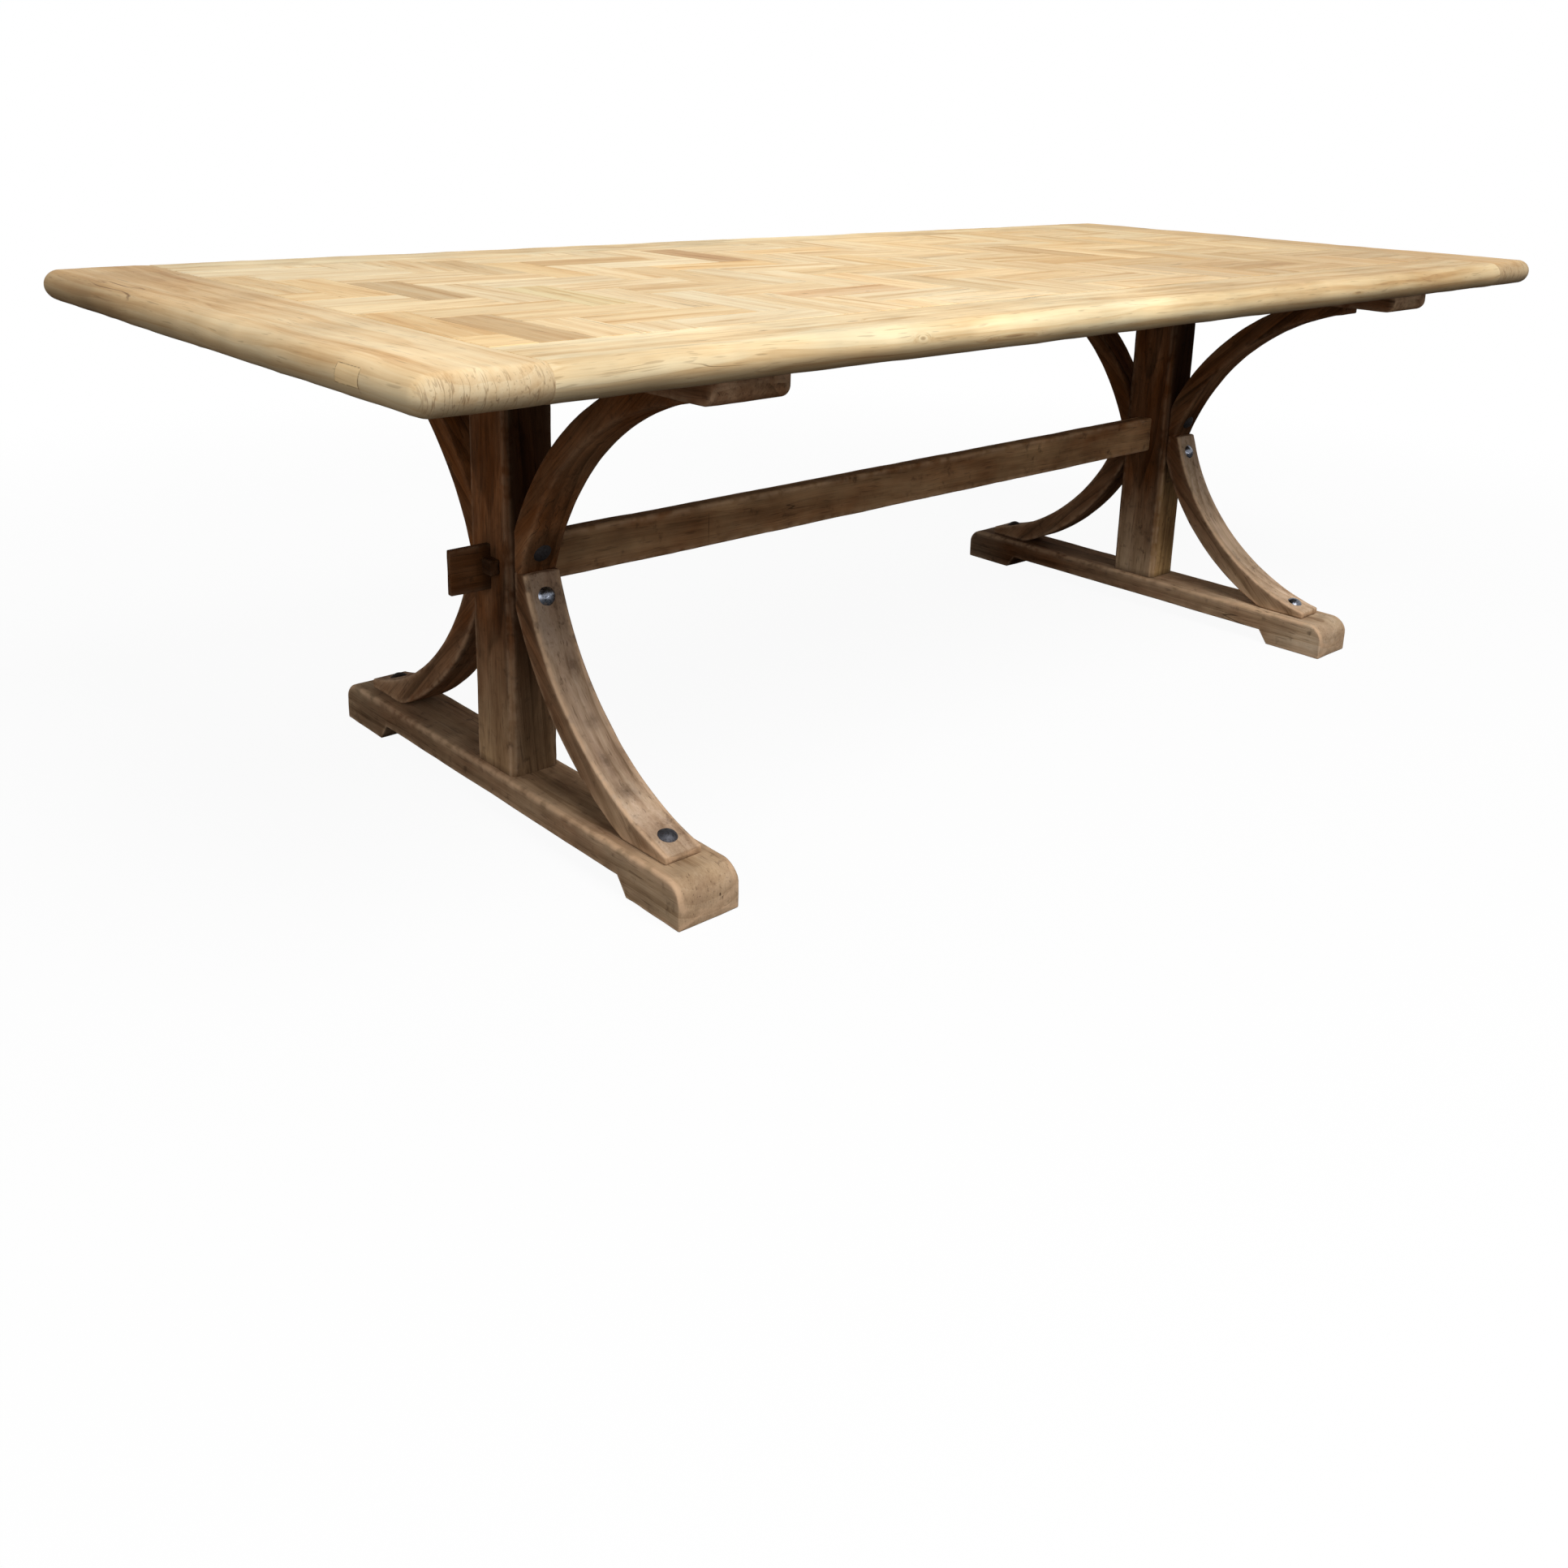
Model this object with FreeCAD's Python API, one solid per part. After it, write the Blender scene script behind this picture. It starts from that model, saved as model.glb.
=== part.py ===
import FreeCAD, Part
import math
import os

V = FreeCAD.Vector

# Overall sizes in mm: X runs along the table, Y across it, Z up from the floor
table_length = 2480.0
table_width = 1100.0
table_height = 765.0
top_thickness = 45.0
corner_radius = 18.0

# Border boards, core and herringbone field of the top
end_board_width = 152.0
side_board_width = 123.0
block_thickness = 16.0
block_width = 75.0
block_ratio = 3
field_start_x = 62.0
field_start_y = 0.0
block_joint = 0.2
tongue_thickness = 10.0
tongue_length = 12.0
tongue_clearance = 0.3
groove_stop = 30.0

# Repair block let into the round edge of the left end board
patch_length = 50.0
patch_height = 20.0
patch_depth = 16.0
patch_from_corner = 142.0
patch_below_top = 18.0

# Trestles
trestle_inset = 440.0
bearer_length = 1030.0
bearer_width = 120.0
bearer_thickness = 32.0
bearer_end_radius = 17.0
post_width_x = 80.0
post_width_y = 100.0
post_chamfer = 7.0
post_tenon_x = 40.0
post_tenon_y = 60.0
foot_tenon_depth = 28.0
bearer_tenon_depth = 24.0
mortise_clearance = 0.3
foot_length = 906.0
foot_width = 100.0
foot_height = 65.0
foot_relief = 26.0
pad_length = 115.0
pad_slope = 19.0
foot_end_radius = 30.0
foot_edge_radius = 4.0

# Curved braces
waist_height = 378.0
brace_width = 60.0
brace_edge_radius = 3.0
upper_reach = 400.0
upper_nose = 18.0
upper_tip = 16.0
upper_radius = 438.0
upper_thickness = 37.0
lower_reach = 398.0
lower_nose_front = 12.5
lower_nose_back = 16.0
lower_tip_front = 25.0
lower_tip_back = 16.0
lower_radius = 426.0
lower_thickness = 40.0

# Stretcher with its through tenons and keys
stretcher_thickness = 28.0
stretcher_height = 70.0
stretcher_middle = 376.0
stretcher_edge_radius = 3.0
tenon_thickness = 10.0
tenon_height = 67.0
tenon_projection = 64.0
key_length = 58.0
key_height = 22.0
key_thickness_small = 12.0
key_thickness_large = 16.0
key_above_middle = 6.0

# Dome-head coach bolts and countersunk screws
bolt_head_radius = 14.0
bolt_head_height = 7.5
bolt_shank_radius = 5.0
bolt_seat_depth = 0.8
bolt_seat_clearance = 0.4
bolt_hole_clearance = 0.1
foot_bolt_length = 55.0
waist_bolt_length = 62.0
foot_bolt_inset = 34.0
lower_bolt_from_waist = 32.0
upper_bolt_from_waist = 29.0
screw_head_radius = 6.0
screw_head_height = 4.0
screw_shank_radius = 3.0
screw_sink = 0.3
screw_clearance = 0.1
top_screw_length = 50.0
top_screw_inner_y = 180.0
top_screw_end_inset = 55.0
brace_screw_length = 42.0
brace_screw_inset = 34.0

# Derived levels and half sizes
top_under = table_height - top_thickness
bearer_under = top_under - bearer_thickness
half_length = table_length / 2
half_width = table_width / 2
field_x = half_length - end_board_width
field_y = half_width - side_board_width
core_top = table_height - block_thickness
tongue_low = (top_under + core_top - tongue_thickness) / 2
trestle_offset = half_length - trestle_inset
post_x = post_width_x / 2
post_y = post_width_y / 2
stretcher_top = stretcher_middle + stretcher_height / 2
tenon_low = stretcher_top - tenon_height
sides = {"left": -1, "right": 1}
faces = {"front": -1, "back": 1}
lower_ends = {"front": (lower_nose_front, lower_tip_front), "back": (lower_nose_back, lower_tip_back)}


def box(x0, x1, y0, y1, z0, z1):
    return Part.makeBox(x1 - x0, y1 - y0, z1 - z0, V(x0, y0, z0))


def mid_box(wide_x, wide_y, z0, z1):
    return box(-wide_x / 2, wide_x / 2, -wide_y / 2, wide_y / 2, z0, z1)


def prism(edges, direction):
    return Part.Face(Part.Wire(edges)).extrude(direction)


def line(a, b):
    return Part.makeLine(a, b)


def arc(a, middle, b):
    return Part.Arc(a, middle, b).toShape()


def move(shape, x=0.0, y=0.0, z=0.0):
    return shape.translated(V(x, y, z))


def turn_half(shape):
    return shape.rotated(V(0, 0, 0), V(0, 0, 1), 180)


def mirror_y(shape):
    return shape.mirror(V(0, 0, 0), V(0, 1, 0))


# Plank with two half-round edges: its section on the start plane, drawn out over a span
def round_edged(half_wide, low, high, start, span):
    radius = (high - low) / 2
    middle = (high + low) / 2
    flat = half_wide - radius
    edges = [
        line(start(-flat, low), start(flat, low)),
        arc(start(flat, low), start(half_wide, middle), start(flat, high)),
        line(start(flat, high), start(-flat, high)),
        arc(start(-flat, high), start(-half_wide, middle), start(-flat, low)),
    ]
    return prism(edges, span)


# Whole outline of the top: half-round edges meeting at eased corners
def top_outline():
    across = round_edged(half_length, top_under, table_height,
                         lambda u, z: V(u, -half_width, z), V(0, table_width, 0))
    along = round_edged(half_width, top_under, table_height,
                        lambda u, z: V(-half_length, u, z), V(table_length, 0, 0))
    plan = box(-half_length, half_length, -half_width, half_width, top_under, table_height)
    upright = [e for e in plan.Edges if abs(e.Vertexes[0].Z - e.Vertexes[-1].Z) > top_thickness / 2]
    plan = plan.makeFillet(corner_radius, upright)
    return across.common(along).common(plan)


# Groove along the inner edge of an end board, stopped before the table's edges
def end_groove():
    reach = half_width - groove_stop
    gap = tongue_clearance
    return box(field_x, field_x + tongue_length + gap, -reach, reach,
               tongue_low - gap, tongue_low + tongue_thickness + gap)


def end_board(outline):
    board = outline.common(box(field_x, half_length, -half_width, half_width, top_under, table_height))
    return board.cut(end_groove())


# Tongue between an end board and the butted end of a side board
def side_board(outline):
    gap = tongue_clearance
    board = outline.common(box(-field_x, field_x, -half_width, -field_y, top_under, table_height))
    groove = box(-field_x, field_x, -field_y - tongue_length - gap, -field_y,
                 tongue_low - gap, tongue_low + tongue_thickness + gap)
    tongue = box(-field_x - tongue_length, field_x + tongue_length,
                 -half_width + groove_stop + gap, -field_y - tongue_length - gap,
                 tongue_low, tongue_low + tongue_thickness)
    return board.cut(groove).fuse(tongue).removeSplitter()


def core_panel():
    panel = box(-field_x, field_x, -field_y, field_y, top_under, core_top)
    high = tongue_low + tongue_thickness
    ends = box(-field_x - tongue_length, field_x + tongue_length, -field_y, field_y, tongue_low, high)
    long_sides = box(-field_x, field_x, -field_y - tongue_length, field_y + tongue_length, tongue_low, high)
    return panel.fuse(ends).fuse(long_sides).removeSplitter()


# One block of the field, trimmed at the border boards and parted by the joint
def field_block(x0, y0, wide_x, wide_y):
    low_x = max(x0, -field_x)
    high_x = min(x0 + wide_x, field_x)
    low_y = max(y0, -field_y)
    high_y = min(y0 + wide_y, field_y)
    least = 4 * block_joint
    if high_x - low_x < least or high_y - low_y < least:
        return None
    half = block_joint / 2
    return box(low_x + half, high_x - half, low_y + half, high_y - half, core_top, table_height)


# Herringbone square to the table: in cell (column, row) the sum modulo twice the ratio
# starts a block across the table at 0 and a block along it at the ratio
def parquet():
    period = 2 * block_ratio
    columns = int(math.ceil(2 * field_x / block_width))
    rows = int(math.ceil(2 * field_y / block_width))
    across = []
    along = []
    for column in range(-period, columns + period):
        for row in range(-period, rows + period):
            x0 = -field_x + field_start_x + column * block_width
            y0 = -field_y + field_start_y + row * block_width
            phase = (column + row) % period
            if phase == 0:
                across.append(field_block(x0, y0, block_width, block_ratio * block_width))
            if phase == block_ratio:
                along.append(field_block(x0, y0, block_ratio * block_width, block_width))
    return [b for b in along if b], [b for b in across if b]


def patch_block():
    y0 = -half_width + patch_from_corner - patch_length / 2
    z1 = table_height - patch_below_top + patch_height / 2
    return box(-half_length, -half_length + patch_depth, y0, y0 + patch_length, z1 - patch_height, z1)


# Bearer plank with its lower end corners rounded, mortised for the post
def bearer():
    half = bearer_length / 2
    r = bearer_end_radius
    x = -bearer_width / 2
    turn = r * math.sqrt(0.5)
    edges = [
        line(V(x, -half, top_under), V(x, half, top_under)),
        line(V(x, half, top_under), V(x, half, bearer_under + r)),
        arc(V(x, half, bearer_under + r), V(x, half - r + turn, bearer_under + r - turn),
            V(x, half - r, bearer_under)),
        line(V(x, half - r, bearer_under), V(x, -half + r, bearer_under)),
        arc(V(x, -half + r, bearer_under), V(x, -half + r - turn, bearer_under + r - turn),
            V(x, -half, bearer_under + r)),
        line(V(x, -half, bearer_under + r), V(x, -half, top_under)),
    ]
    gap = 2 * mortise_clearance
    mortise = mid_box(post_tenon_x + gap, post_tenon_y + gap, bearer_under,
                      bearer_under + bearer_tenon_depth + mortise_clearance)
    return prism(edges, V(bearer_width, 0, 0)).cut(mortise)


# Foot beam: rounded upper ends, underside cut away between the two pads, mortised for the post
def foot():
    half = foot_length / 2
    r = foot_end_radius
    x = -foot_width / 2
    turn = r * math.sqrt(0.5)
    pad = half - pad_length
    flat = pad - pad_slope
    edges = [
        line(V(x, -half, 0), V(x, -half, foot_height - r)),
        arc(V(x, -half, foot_height - r), V(x, -half + r - turn, foot_height - r + turn),
            V(x, -half + r, foot_height)),
        line(V(x, -half + r, foot_height), V(x, half - r, foot_height)),
        arc(V(x, half - r, foot_height), V(x, half - r + turn, foot_height - r + turn),
            V(x, half, foot_height - r)),
        line(V(x, half, foot_height - r), V(x, half, 0)),
        line(V(x, half, 0), V(x, pad, 0)),
        line(V(x, pad, 0), V(x, flat, foot_relief)),
        line(V(x, flat, foot_relief), V(x, -flat, foot_relief)),
        line(V(x, -flat, foot_relief), V(x, -pad, 0)),
        line(V(x, -pad, 0), V(x, -half, 0)),
    ]
    beam = prism(edges, V(foot_width, 0, 0))
    upper = []
    for edge in beam.Edges:
        middle = edge.valueAt((edge.FirstParameter + edge.LastParameter) / 2)
        on_side = abs(abs(edge.BoundBox.Center.x) - foot_width / 2) < 0.01 and edge.BoundBox.XLength < 0.01
        if on_side and middle.z > foot_height - r + 0.1 * r:
            upper.append(edge)
    beam = beam.makeFillet(foot_edge_radius, upper)
    gap = 2 * mortise_clearance
    return beam.cut(mid_box(post_tenon_x + gap, post_tenon_y + gap,
                            foot_height - foot_tenon_depth - mortise_clearance, foot_height))


# Post with chamfered corners and a tenon at each end, mortised through for the stretcher's tenon
def post():
    shaft = mid_box(post_width_x, post_width_y, foot_height, bearer_under)
    upright = [e for e in shaft.Edges if e.BoundBox.ZLength > e.BoundBox.XLength + e.BoundBox.YLength]
    shaft = shaft.makeChamfer(post_chamfer, upright)
    tenons = mid_box(post_tenon_x, post_tenon_y, foot_height - foot_tenon_depth,
                     bearer_under + bearer_tenon_depth)
    gap = 2 * mortise_clearance
    hole = box(-post_x, post_x, -(tenon_thickness + gap) / 2, (tenon_thickness + gap) / 2,
               tenon_low - mortise_clearance, stretcher_top + mortise_clearance)
    return shaft.fuse(tenons).removeSplitter().cut(hole)


# Centre of the hollow outer face: the circle of this radius through nose and waist tip,
# on the side away from the post
def hollow_centre(nose, tip, radius):
    chord = tip - nose
    middle = (tip + nose) * 0.5
    rise = math.sqrt(radius ** 2 - (chord.Length / 2) ** 2)
    normal = V(0, -chord.z, chord.y)
    normal.normalize()
    if normal.y < 0:
        normal = normal * -1
    return middle + normal * rise


def upper_arc():
    nose = V(0, upper_reach, bearer_under - upper_nose)
    tip = V(0, post_y + upper_tip, waist_height)
    return nose, tip, hollow_centre(nose, tip, upper_radius)


# The hand-cut lower braces differ a little from face to face
def lower_arc(face):
    nose_height, tip_width = lower_ends[face]
    nose = V(0, lower_reach, foot_height + nose_height)
    tip = V(0, post_y + tip_width, waist_height)
    return nose, tip, hollow_centre(nose, tip, lower_radius)


def on_circle(centre, radius, a, b):
    direction = (a + b) * 0.5 - centre
    direction.normalize()
    return centre + direction * radius


# Brace cut from a board: hollow outer face, round inner face, flat along the post and the beam
def brace(nose, tip, centre, radius, thickness, beam_level):
    back = radius + thickness
    toward = 1 if beam_level > waist_height else -1
    at_post = V(0, post_y, centre.z + toward * math.sqrt(back ** 2 - (centre.y - post_y) ** 2))
    at_beam = V(0, centre.y - math.sqrt(back ** 2 - (beam_level - centre.z) ** 2), beam_level)
    heel = V(0, nose.y, beam_level)
    root = V(0, post_y, waist_height)
    edges = [
        line(heel, nose),
        arc(nose, on_circle(centre, radius, nose, tip), tip),
        line(tip, root),
        line(root, at_post),
        arc(at_post, on_circle(centre, back, at_post, at_beam), at_beam),
        line(at_beam, heel),
    ]
    solid = move(prism(edges, V(brace_width, 0, 0)), x=-brace_width / 2)
    hollow = [e for e in solid.Edges if e.Curve.TypeId == "Part::GeomCircle"
              and abs(e.Curve.Radius - radius) < 0.01]
    return solid.makeFillet(brace_edge_radius, hollow)


def upper_brace():
    nose, tip, centre = upper_arc()
    return brace(nose, tip, centre, upper_radius, upper_thickness, bearer_under)


def lower_brace(face):
    nose, tip, centre = lower_arc(face)
    return brace(nose, tip, centre, lower_radius, lower_thickness, foot_height)


# Board on edge between the posts with a thin tenon through each, flush with its upper edge
def stretcher():
    reach = trestle_offset - post_x
    half = stretcher_thickness / 2
    board = box(-reach, reach, -half, half, stretcher_top - stretcher_height, stretcher_top)
    long_edges = [e for e in board.Edges if e.BoundBox.XLength > reach]
    board = board.makeFillet(stretcher_edge_radius, long_edges)
    out = trestle_offset + post_x + tenon_projection
    tenons = box(-out, out, -tenon_thickness / 2, tenon_thickness / 2, tenon_low, stretcher_top)
    return board.fuse(tenons).removeSplitter()


# Tapered key lying across the tenon, its flat face against the post
def key(grow=0.0):
    x = trestle_offset + post_x
    half = key_length / 2 + grow
    low = stretcher_middle + key_above_middle - key_height / 2 - grow
    small = key_thickness_small + grow
    large = key_thickness_large + grow
    corners = [V(x, -half, low), V(x + small, -half, low), V(x + large, half, low), V(x, half, low)]
    edges = [line(corners[i], corners[(i + 1) % 4]) for i in range(4)]
    return prism(edges, V(0, 0, key_height + 2 * grow))


# Half section turned about the Z axis into a solid
def turned(edges):
    return Part.Face(Part.Wire(edges)).revolve(V(0, 0, 0), V(0, 0, 1), 360)


# Solid with its seat at the origin and its head up, set on a seat and driven along a direction
def driven(solid, seat, direction):
    base = seat + direction * bolt_seat_depth
    placed = solid.copy()
    placed.Placement = FreeCAD.Placement(base, FreeCAD.Rotation(V(0, 0, -1), direction))
    return placed


# Dome-head bolt, its flat seat at the foot of the spot face
def bolt(seat, direction, length):
    r = bolt_head_radius
    h = bolt_head_height
    shank = bolt_shank_radius
    ball = (r ** 2 + h ** 2) / (2 * h)
    lean = math.asin(r / ball) / 2
    shoulder = V(ball * math.sin(lean), 0, h - ball + ball * math.cos(lean))
    edges = [
        line(V(0, 0, h), V(0, 0, -length)),
        line(V(0, 0, -length), V(shank, 0, -length)),
        line(V(shank, 0, -length), V(shank, 0, 0)),
        line(V(shank, 0, 0), V(r, 0, 0)),
        arc(V(r, 0, 0), shoulder, V(0, 0, h)),
    ]
    return driven(turned(edges), seat, direction)


# Room cut for a bolt: the spot face under its head and the bore round its shank
def bolt_room(seat, direction, length):
    bore = bolt_shank_radius + bolt_hole_clearance
    spot = bolt_head_radius + bolt_seat_clearance
    high = bolt_head_height
    low = -length - bolt_hole_clearance
    corners = [V(0, 0, high), V(0, 0, low), V(bore, 0, low), V(bore, 0, 0), V(spot, 0, 0), V(spot, 0, high)]
    edges = [line(corners[i - 1], corners[i]) for i in range(len(corners))]
    return driven(turned(edges), seat, direction)


# Seat on a hollow face and the direction square into it, at a point given by y or by z
def seat_at_y(centre, radius, y, toward):
    point = V(0, y, centre.z + toward * math.sqrt(radius ** 2 - (centre.y - y) ** 2))
    return seat_on(centre, point)


def seat_at_z(centre, radius, z):
    point = V(0, centre.y - math.sqrt(radius ** 2 - (z - centre.z) ** 2), z)
    return seat_on(centre, point)


def seat_on(centre, point):
    direction = point - centre
    direction.normalize()
    return point, direction


# The three bolts of one quarter of a trestle as name, seat, direction and length
def quarter_bolts(face):
    upper = upper_arc()[2]
    lower = lower_arc(face)[2]
    foot_seat = seat_at_y(lower, lower_radius, lower_reach - foot_bolt_inset, -1)
    lower_waist_seat = seat_at_z(lower, lower_radius, waist_height - lower_bolt_from_waist)
    upper_waist_seat = seat_at_z(upper, upper_radius, waist_height + upper_bolt_from_waist)
    return {
        "bolts_foot": (*foot_seat, foot_bolt_length),
        "bolts_waist_lower": (*lower_waist_seat, waist_bolt_length),
        "bolts_waist_upper": (*upper_waist_seat, waist_bolt_length),
    }


# Countersunk screw with the face of its head at the origin and its shank up
def screw(length):
    shank = Part.makeCylinder(screw_shank_radius, length)
    head = Part.makeCone(screw_head_radius, screw_shank_radius, screw_head_height)
    return head.fuse(shank)


# Room cut for a screw, open in front of its head
def screw_room(length):
    gap = screw_clearance
    bore = Part.makeCylinder(screw_shank_radius + gap, length + gap)
    sink = Part.makeCone(screw_head_radius + gap, screw_shank_radius + gap, screw_head_height)
    front = Part.makeCylinder(screw_head_radius + gap, screw_head_height, V(0, 0, -screw_head_height))
    return front.fuse(sink).fuse(bore)


# Screw or its room sunk a little into a seat and turned to a direction
def set_in(solid, seat, direction):
    placed = solid.copy()
    turn = FreeCAD.Rotation(V(0, 0, 1), direction)
    placed.Placement = FreeCAD.Placement(seat + direction * screw_sink, turn)
    return placed


# Screws up through the bearers into the top
def top_screws(solid):
    outer = bearer_length / 2 - top_screw_end_inset
    across = (-outer, -top_screw_inner_y, top_screw_inner_y, outer)
    places = [V(sign * trestle_offset, y, bearer_under) for sign in sides.values() for y in across]
    return Part.makeCompound([set_in(solid, place, V(0, 0, 1)) for place in places])


# Screw up through the outer end of an upper brace into its bearer
def brace_screw(solid):
    return set_in(solid, *seat_at_y(upper_arc()[2], upper_radius, upper_reach - brace_screw_inset, 1))


def quarter_rooms(face):
    rooms = [bolt_room(*place) for place in quarter_bolts(face).values()]
    rooms.append(brace_screw(screw_room(brace_screw_length)))
    return rooms[0].multiFuse(rooms[1:])


# Shape of the back quarter, mirrored where the front is asked for
def on_face(shape, face):
    return mirror_y(shape) if faces[face] < 0 else shape


# The same shape on both faces of both trestles
def on_quarters(make):
    pair = [on_face(make(face), face) for face in faces]
    offsets = [sign * trestle_offset for sign in sides.values()]
    return Part.makeCompound([move(shape, x=x) for x in offsets for shape in pair])


# All named pieces in place
def build():
    nodes = {}
    screws_cut = top_screws(screw_room(top_screw_length))

    outline = top_outline()
    right_end = end_board(outline)
    patch = patch_block()
    nodes["end_board_right"] = right_end
    nodes["end_board_left"] = turn_half(right_end).cut(patch)
    nodes["edge_patch"] = outline.common(patch)
    front = side_board(outline)
    nodes["side_board_front"] = front.cut(screws_cut)
    nodes["side_board_back"] = turn_half(front).cut(screws_cut)
    nodes["core_panel"] = core_panel().cut(screws_cut)
    along, across = parquet()
    nodes["parquet_along"] = Part.makeCompound(along)
    nodes["parquet_across"] = Part.makeCompound(across)

    rooms = {face: quarter_rooms(face) for face in faces}
    both_rooms = Part.makeCompound([on_face(rooms[face], face) for face in faces])
    one_bearer = bearer().cut(both_rooms)
    one_foot = foot().cut(both_rooms)
    one_post = post().cut(both_rooms)
    uppers = {face: on_face(upper_brace().cut(rooms[face]), face) for face in faces}
    lowers = {face: on_face(lower_brace(face).cut(rooms[face]), face) for face in faces}
    for side, sign in sides.items():
        x = sign * trestle_offset
        nodes["bearer_" + side] = move(one_bearer, x=x).cut(screws_cut)
        nodes["foot_" + side] = move(one_foot, x=x)
        nodes["post_" + side] = move(one_post, x=x)
        for face in faces:
            nodes["brace_upper_" + side + "_" + face] = move(uppers[face], x=x)
            nodes["brace_lower_" + side + "_" + face] = move(lowers[face], x=x)

    key_room = key(mortise_clearance)
    nodes["stretcher"] = stretcher().cut(key_room).cut(turn_half(key_room))
    nodes["key_right"] = key()
    nodes["key_left"] = turn_half(key())

    for name in quarter_bolts("front"):
        nodes[name] = on_quarters(lambda face: bolt(*quarter_bolts(face)[name]))
    nodes["brace_screws"] = on_quarters(lambda face: brace_screw(screw(brace_screw_length)))
    nodes["top_screws"] = top_screws(screw(top_screw_length))
    return nodes


os.makedirs("parts", exist_ok=True)
for name, shape in build().items():
    solids = shape.Solids
    closed = all(s.isValid() and s.isClosed() for s in solids)
    volume = sum(s.Volume for s in solids)
    print(name, len(solids), "solids", round(volume / 1000, 1), "cm3", "closed" if closed else "open")
    whole = solids[0] if len(solids) == 1 else Part.makeCompound(solids)
    whole.exportStep("parts/" + name + ".step")
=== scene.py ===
import math

import bpy
import numpy as np
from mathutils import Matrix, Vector


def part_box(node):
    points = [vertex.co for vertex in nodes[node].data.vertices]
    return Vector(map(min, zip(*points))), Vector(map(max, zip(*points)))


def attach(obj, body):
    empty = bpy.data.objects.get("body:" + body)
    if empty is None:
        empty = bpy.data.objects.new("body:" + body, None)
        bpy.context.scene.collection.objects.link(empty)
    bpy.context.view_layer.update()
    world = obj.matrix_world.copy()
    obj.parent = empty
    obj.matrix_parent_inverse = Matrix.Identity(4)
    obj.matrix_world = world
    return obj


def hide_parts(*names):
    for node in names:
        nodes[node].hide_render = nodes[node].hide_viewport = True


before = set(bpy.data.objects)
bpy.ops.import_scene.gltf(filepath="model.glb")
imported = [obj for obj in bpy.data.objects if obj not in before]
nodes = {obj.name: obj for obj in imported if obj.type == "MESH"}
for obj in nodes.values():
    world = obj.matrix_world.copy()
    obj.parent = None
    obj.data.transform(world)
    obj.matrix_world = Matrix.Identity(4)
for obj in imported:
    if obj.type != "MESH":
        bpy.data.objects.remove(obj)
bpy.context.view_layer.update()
print("frame loaded:", len(nodes), "nodes")

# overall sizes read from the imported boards, in metres
endLow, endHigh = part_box("end_board_left")
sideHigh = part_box("side_board_front")[1]
postLow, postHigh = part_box("post_left")
bearerLow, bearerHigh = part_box("bearer_left")
footLow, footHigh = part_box("foot_left")
stretcherLow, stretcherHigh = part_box("stretcher")
halfLength = -endLow.x
halfWidth = -endLow.y
fieldX = -endHigh.x
fieldY = -sideHigh.y
topUnder, tableTop = endLow.z, endHigh.z
trestleX = -(postLow.x + postHigh.x) / 2
postX = (postHigh.x - postLow.x) / 2
postY = (postHigh.y - postLow.y) / 2
bearerUnder = bearerLow.z
footTop = footHigh.z
sides = {"left": -1, "right": 1}
faces = {"front": -1, "back": 1}


# share that grows evenly from 0 at one value to 1 at another and stays level beyond them
def grow(value, zero, one):
    return np.clip((value - zero) / (one - zero), 0, 1)


# value noise: a seeded lattice of random heights, eased between its points along each axis
def softNoise(points, size, seed, latticeSide=29):
    lattice = np.random.default_rng(seed).uniform(-1, 1, (latticeSide,) * 3)
    spot = points / size
    corner = np.floor(spot).astype(int)
    part = spot - corner
    part = part * part * (3 - 2 * part)
    total = np.zeros(points.shape[:-1])
    for step in np.ndindex(2, 2, 2):
        weight = np.prod(np.where(step, part, 1 - part), axis=-1)
        index = (corner + np.array(step)) % latticeSide
        total += weight * lattice[index[..., 0], index[..., 1], index[..., 2]]
    return total


# hand-worked surface: each point moved by three independent noises of one size
def uneven(points, amount, size, seed):
    moved = np.stack([softNoise(points, size, seed + axis) for axis in range(3)], axis=-1)
    return points + amount * moved


# quads between neighbouring rows and columns of a grid, columns closed into a ring where asked
def gridFaces(rows, columns, ring=True):
    row = np.arange(rows - 1)[:, None]
    column = np.arange(columns if ring else columns - 1)[None, :]
    after = (column + 1) % columns
    quads = np.stack([row * columns + column, row * columns + after,
                      (row + 1) * columns + after, (row + 1) * columns + column], axis=-1)
    return quads.reshape(-1, 4)


# rows of rings as one list of points, the middles of the first and last ring added for the caps
def withCaps(rings):
    flat = rings.reshape(-1, *rings.shape[2:])
    return np.concatenate([flat, rings[:1].mean(axis=1), rings[-1:].mean(axis=1)])


# quads of a bar of rings, with a fan of triangles from each end's middle
def barFaces(rows, columns):
    here = np.arange(columns)
    after = (here + 1) % columns
    start = np.full(columns, rows * columns)
    lastRow = (rows - 1) * columns
    firstCap = np.stack([start, after, here, here], axis=-1)
    lastCap = np.stack([start + 1, lastRow + here, lastRow + after, lastRow + after], axis=-1)
    return np.concatenate([gridFaces(rows, columns), firstCap, lastCap])


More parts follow.
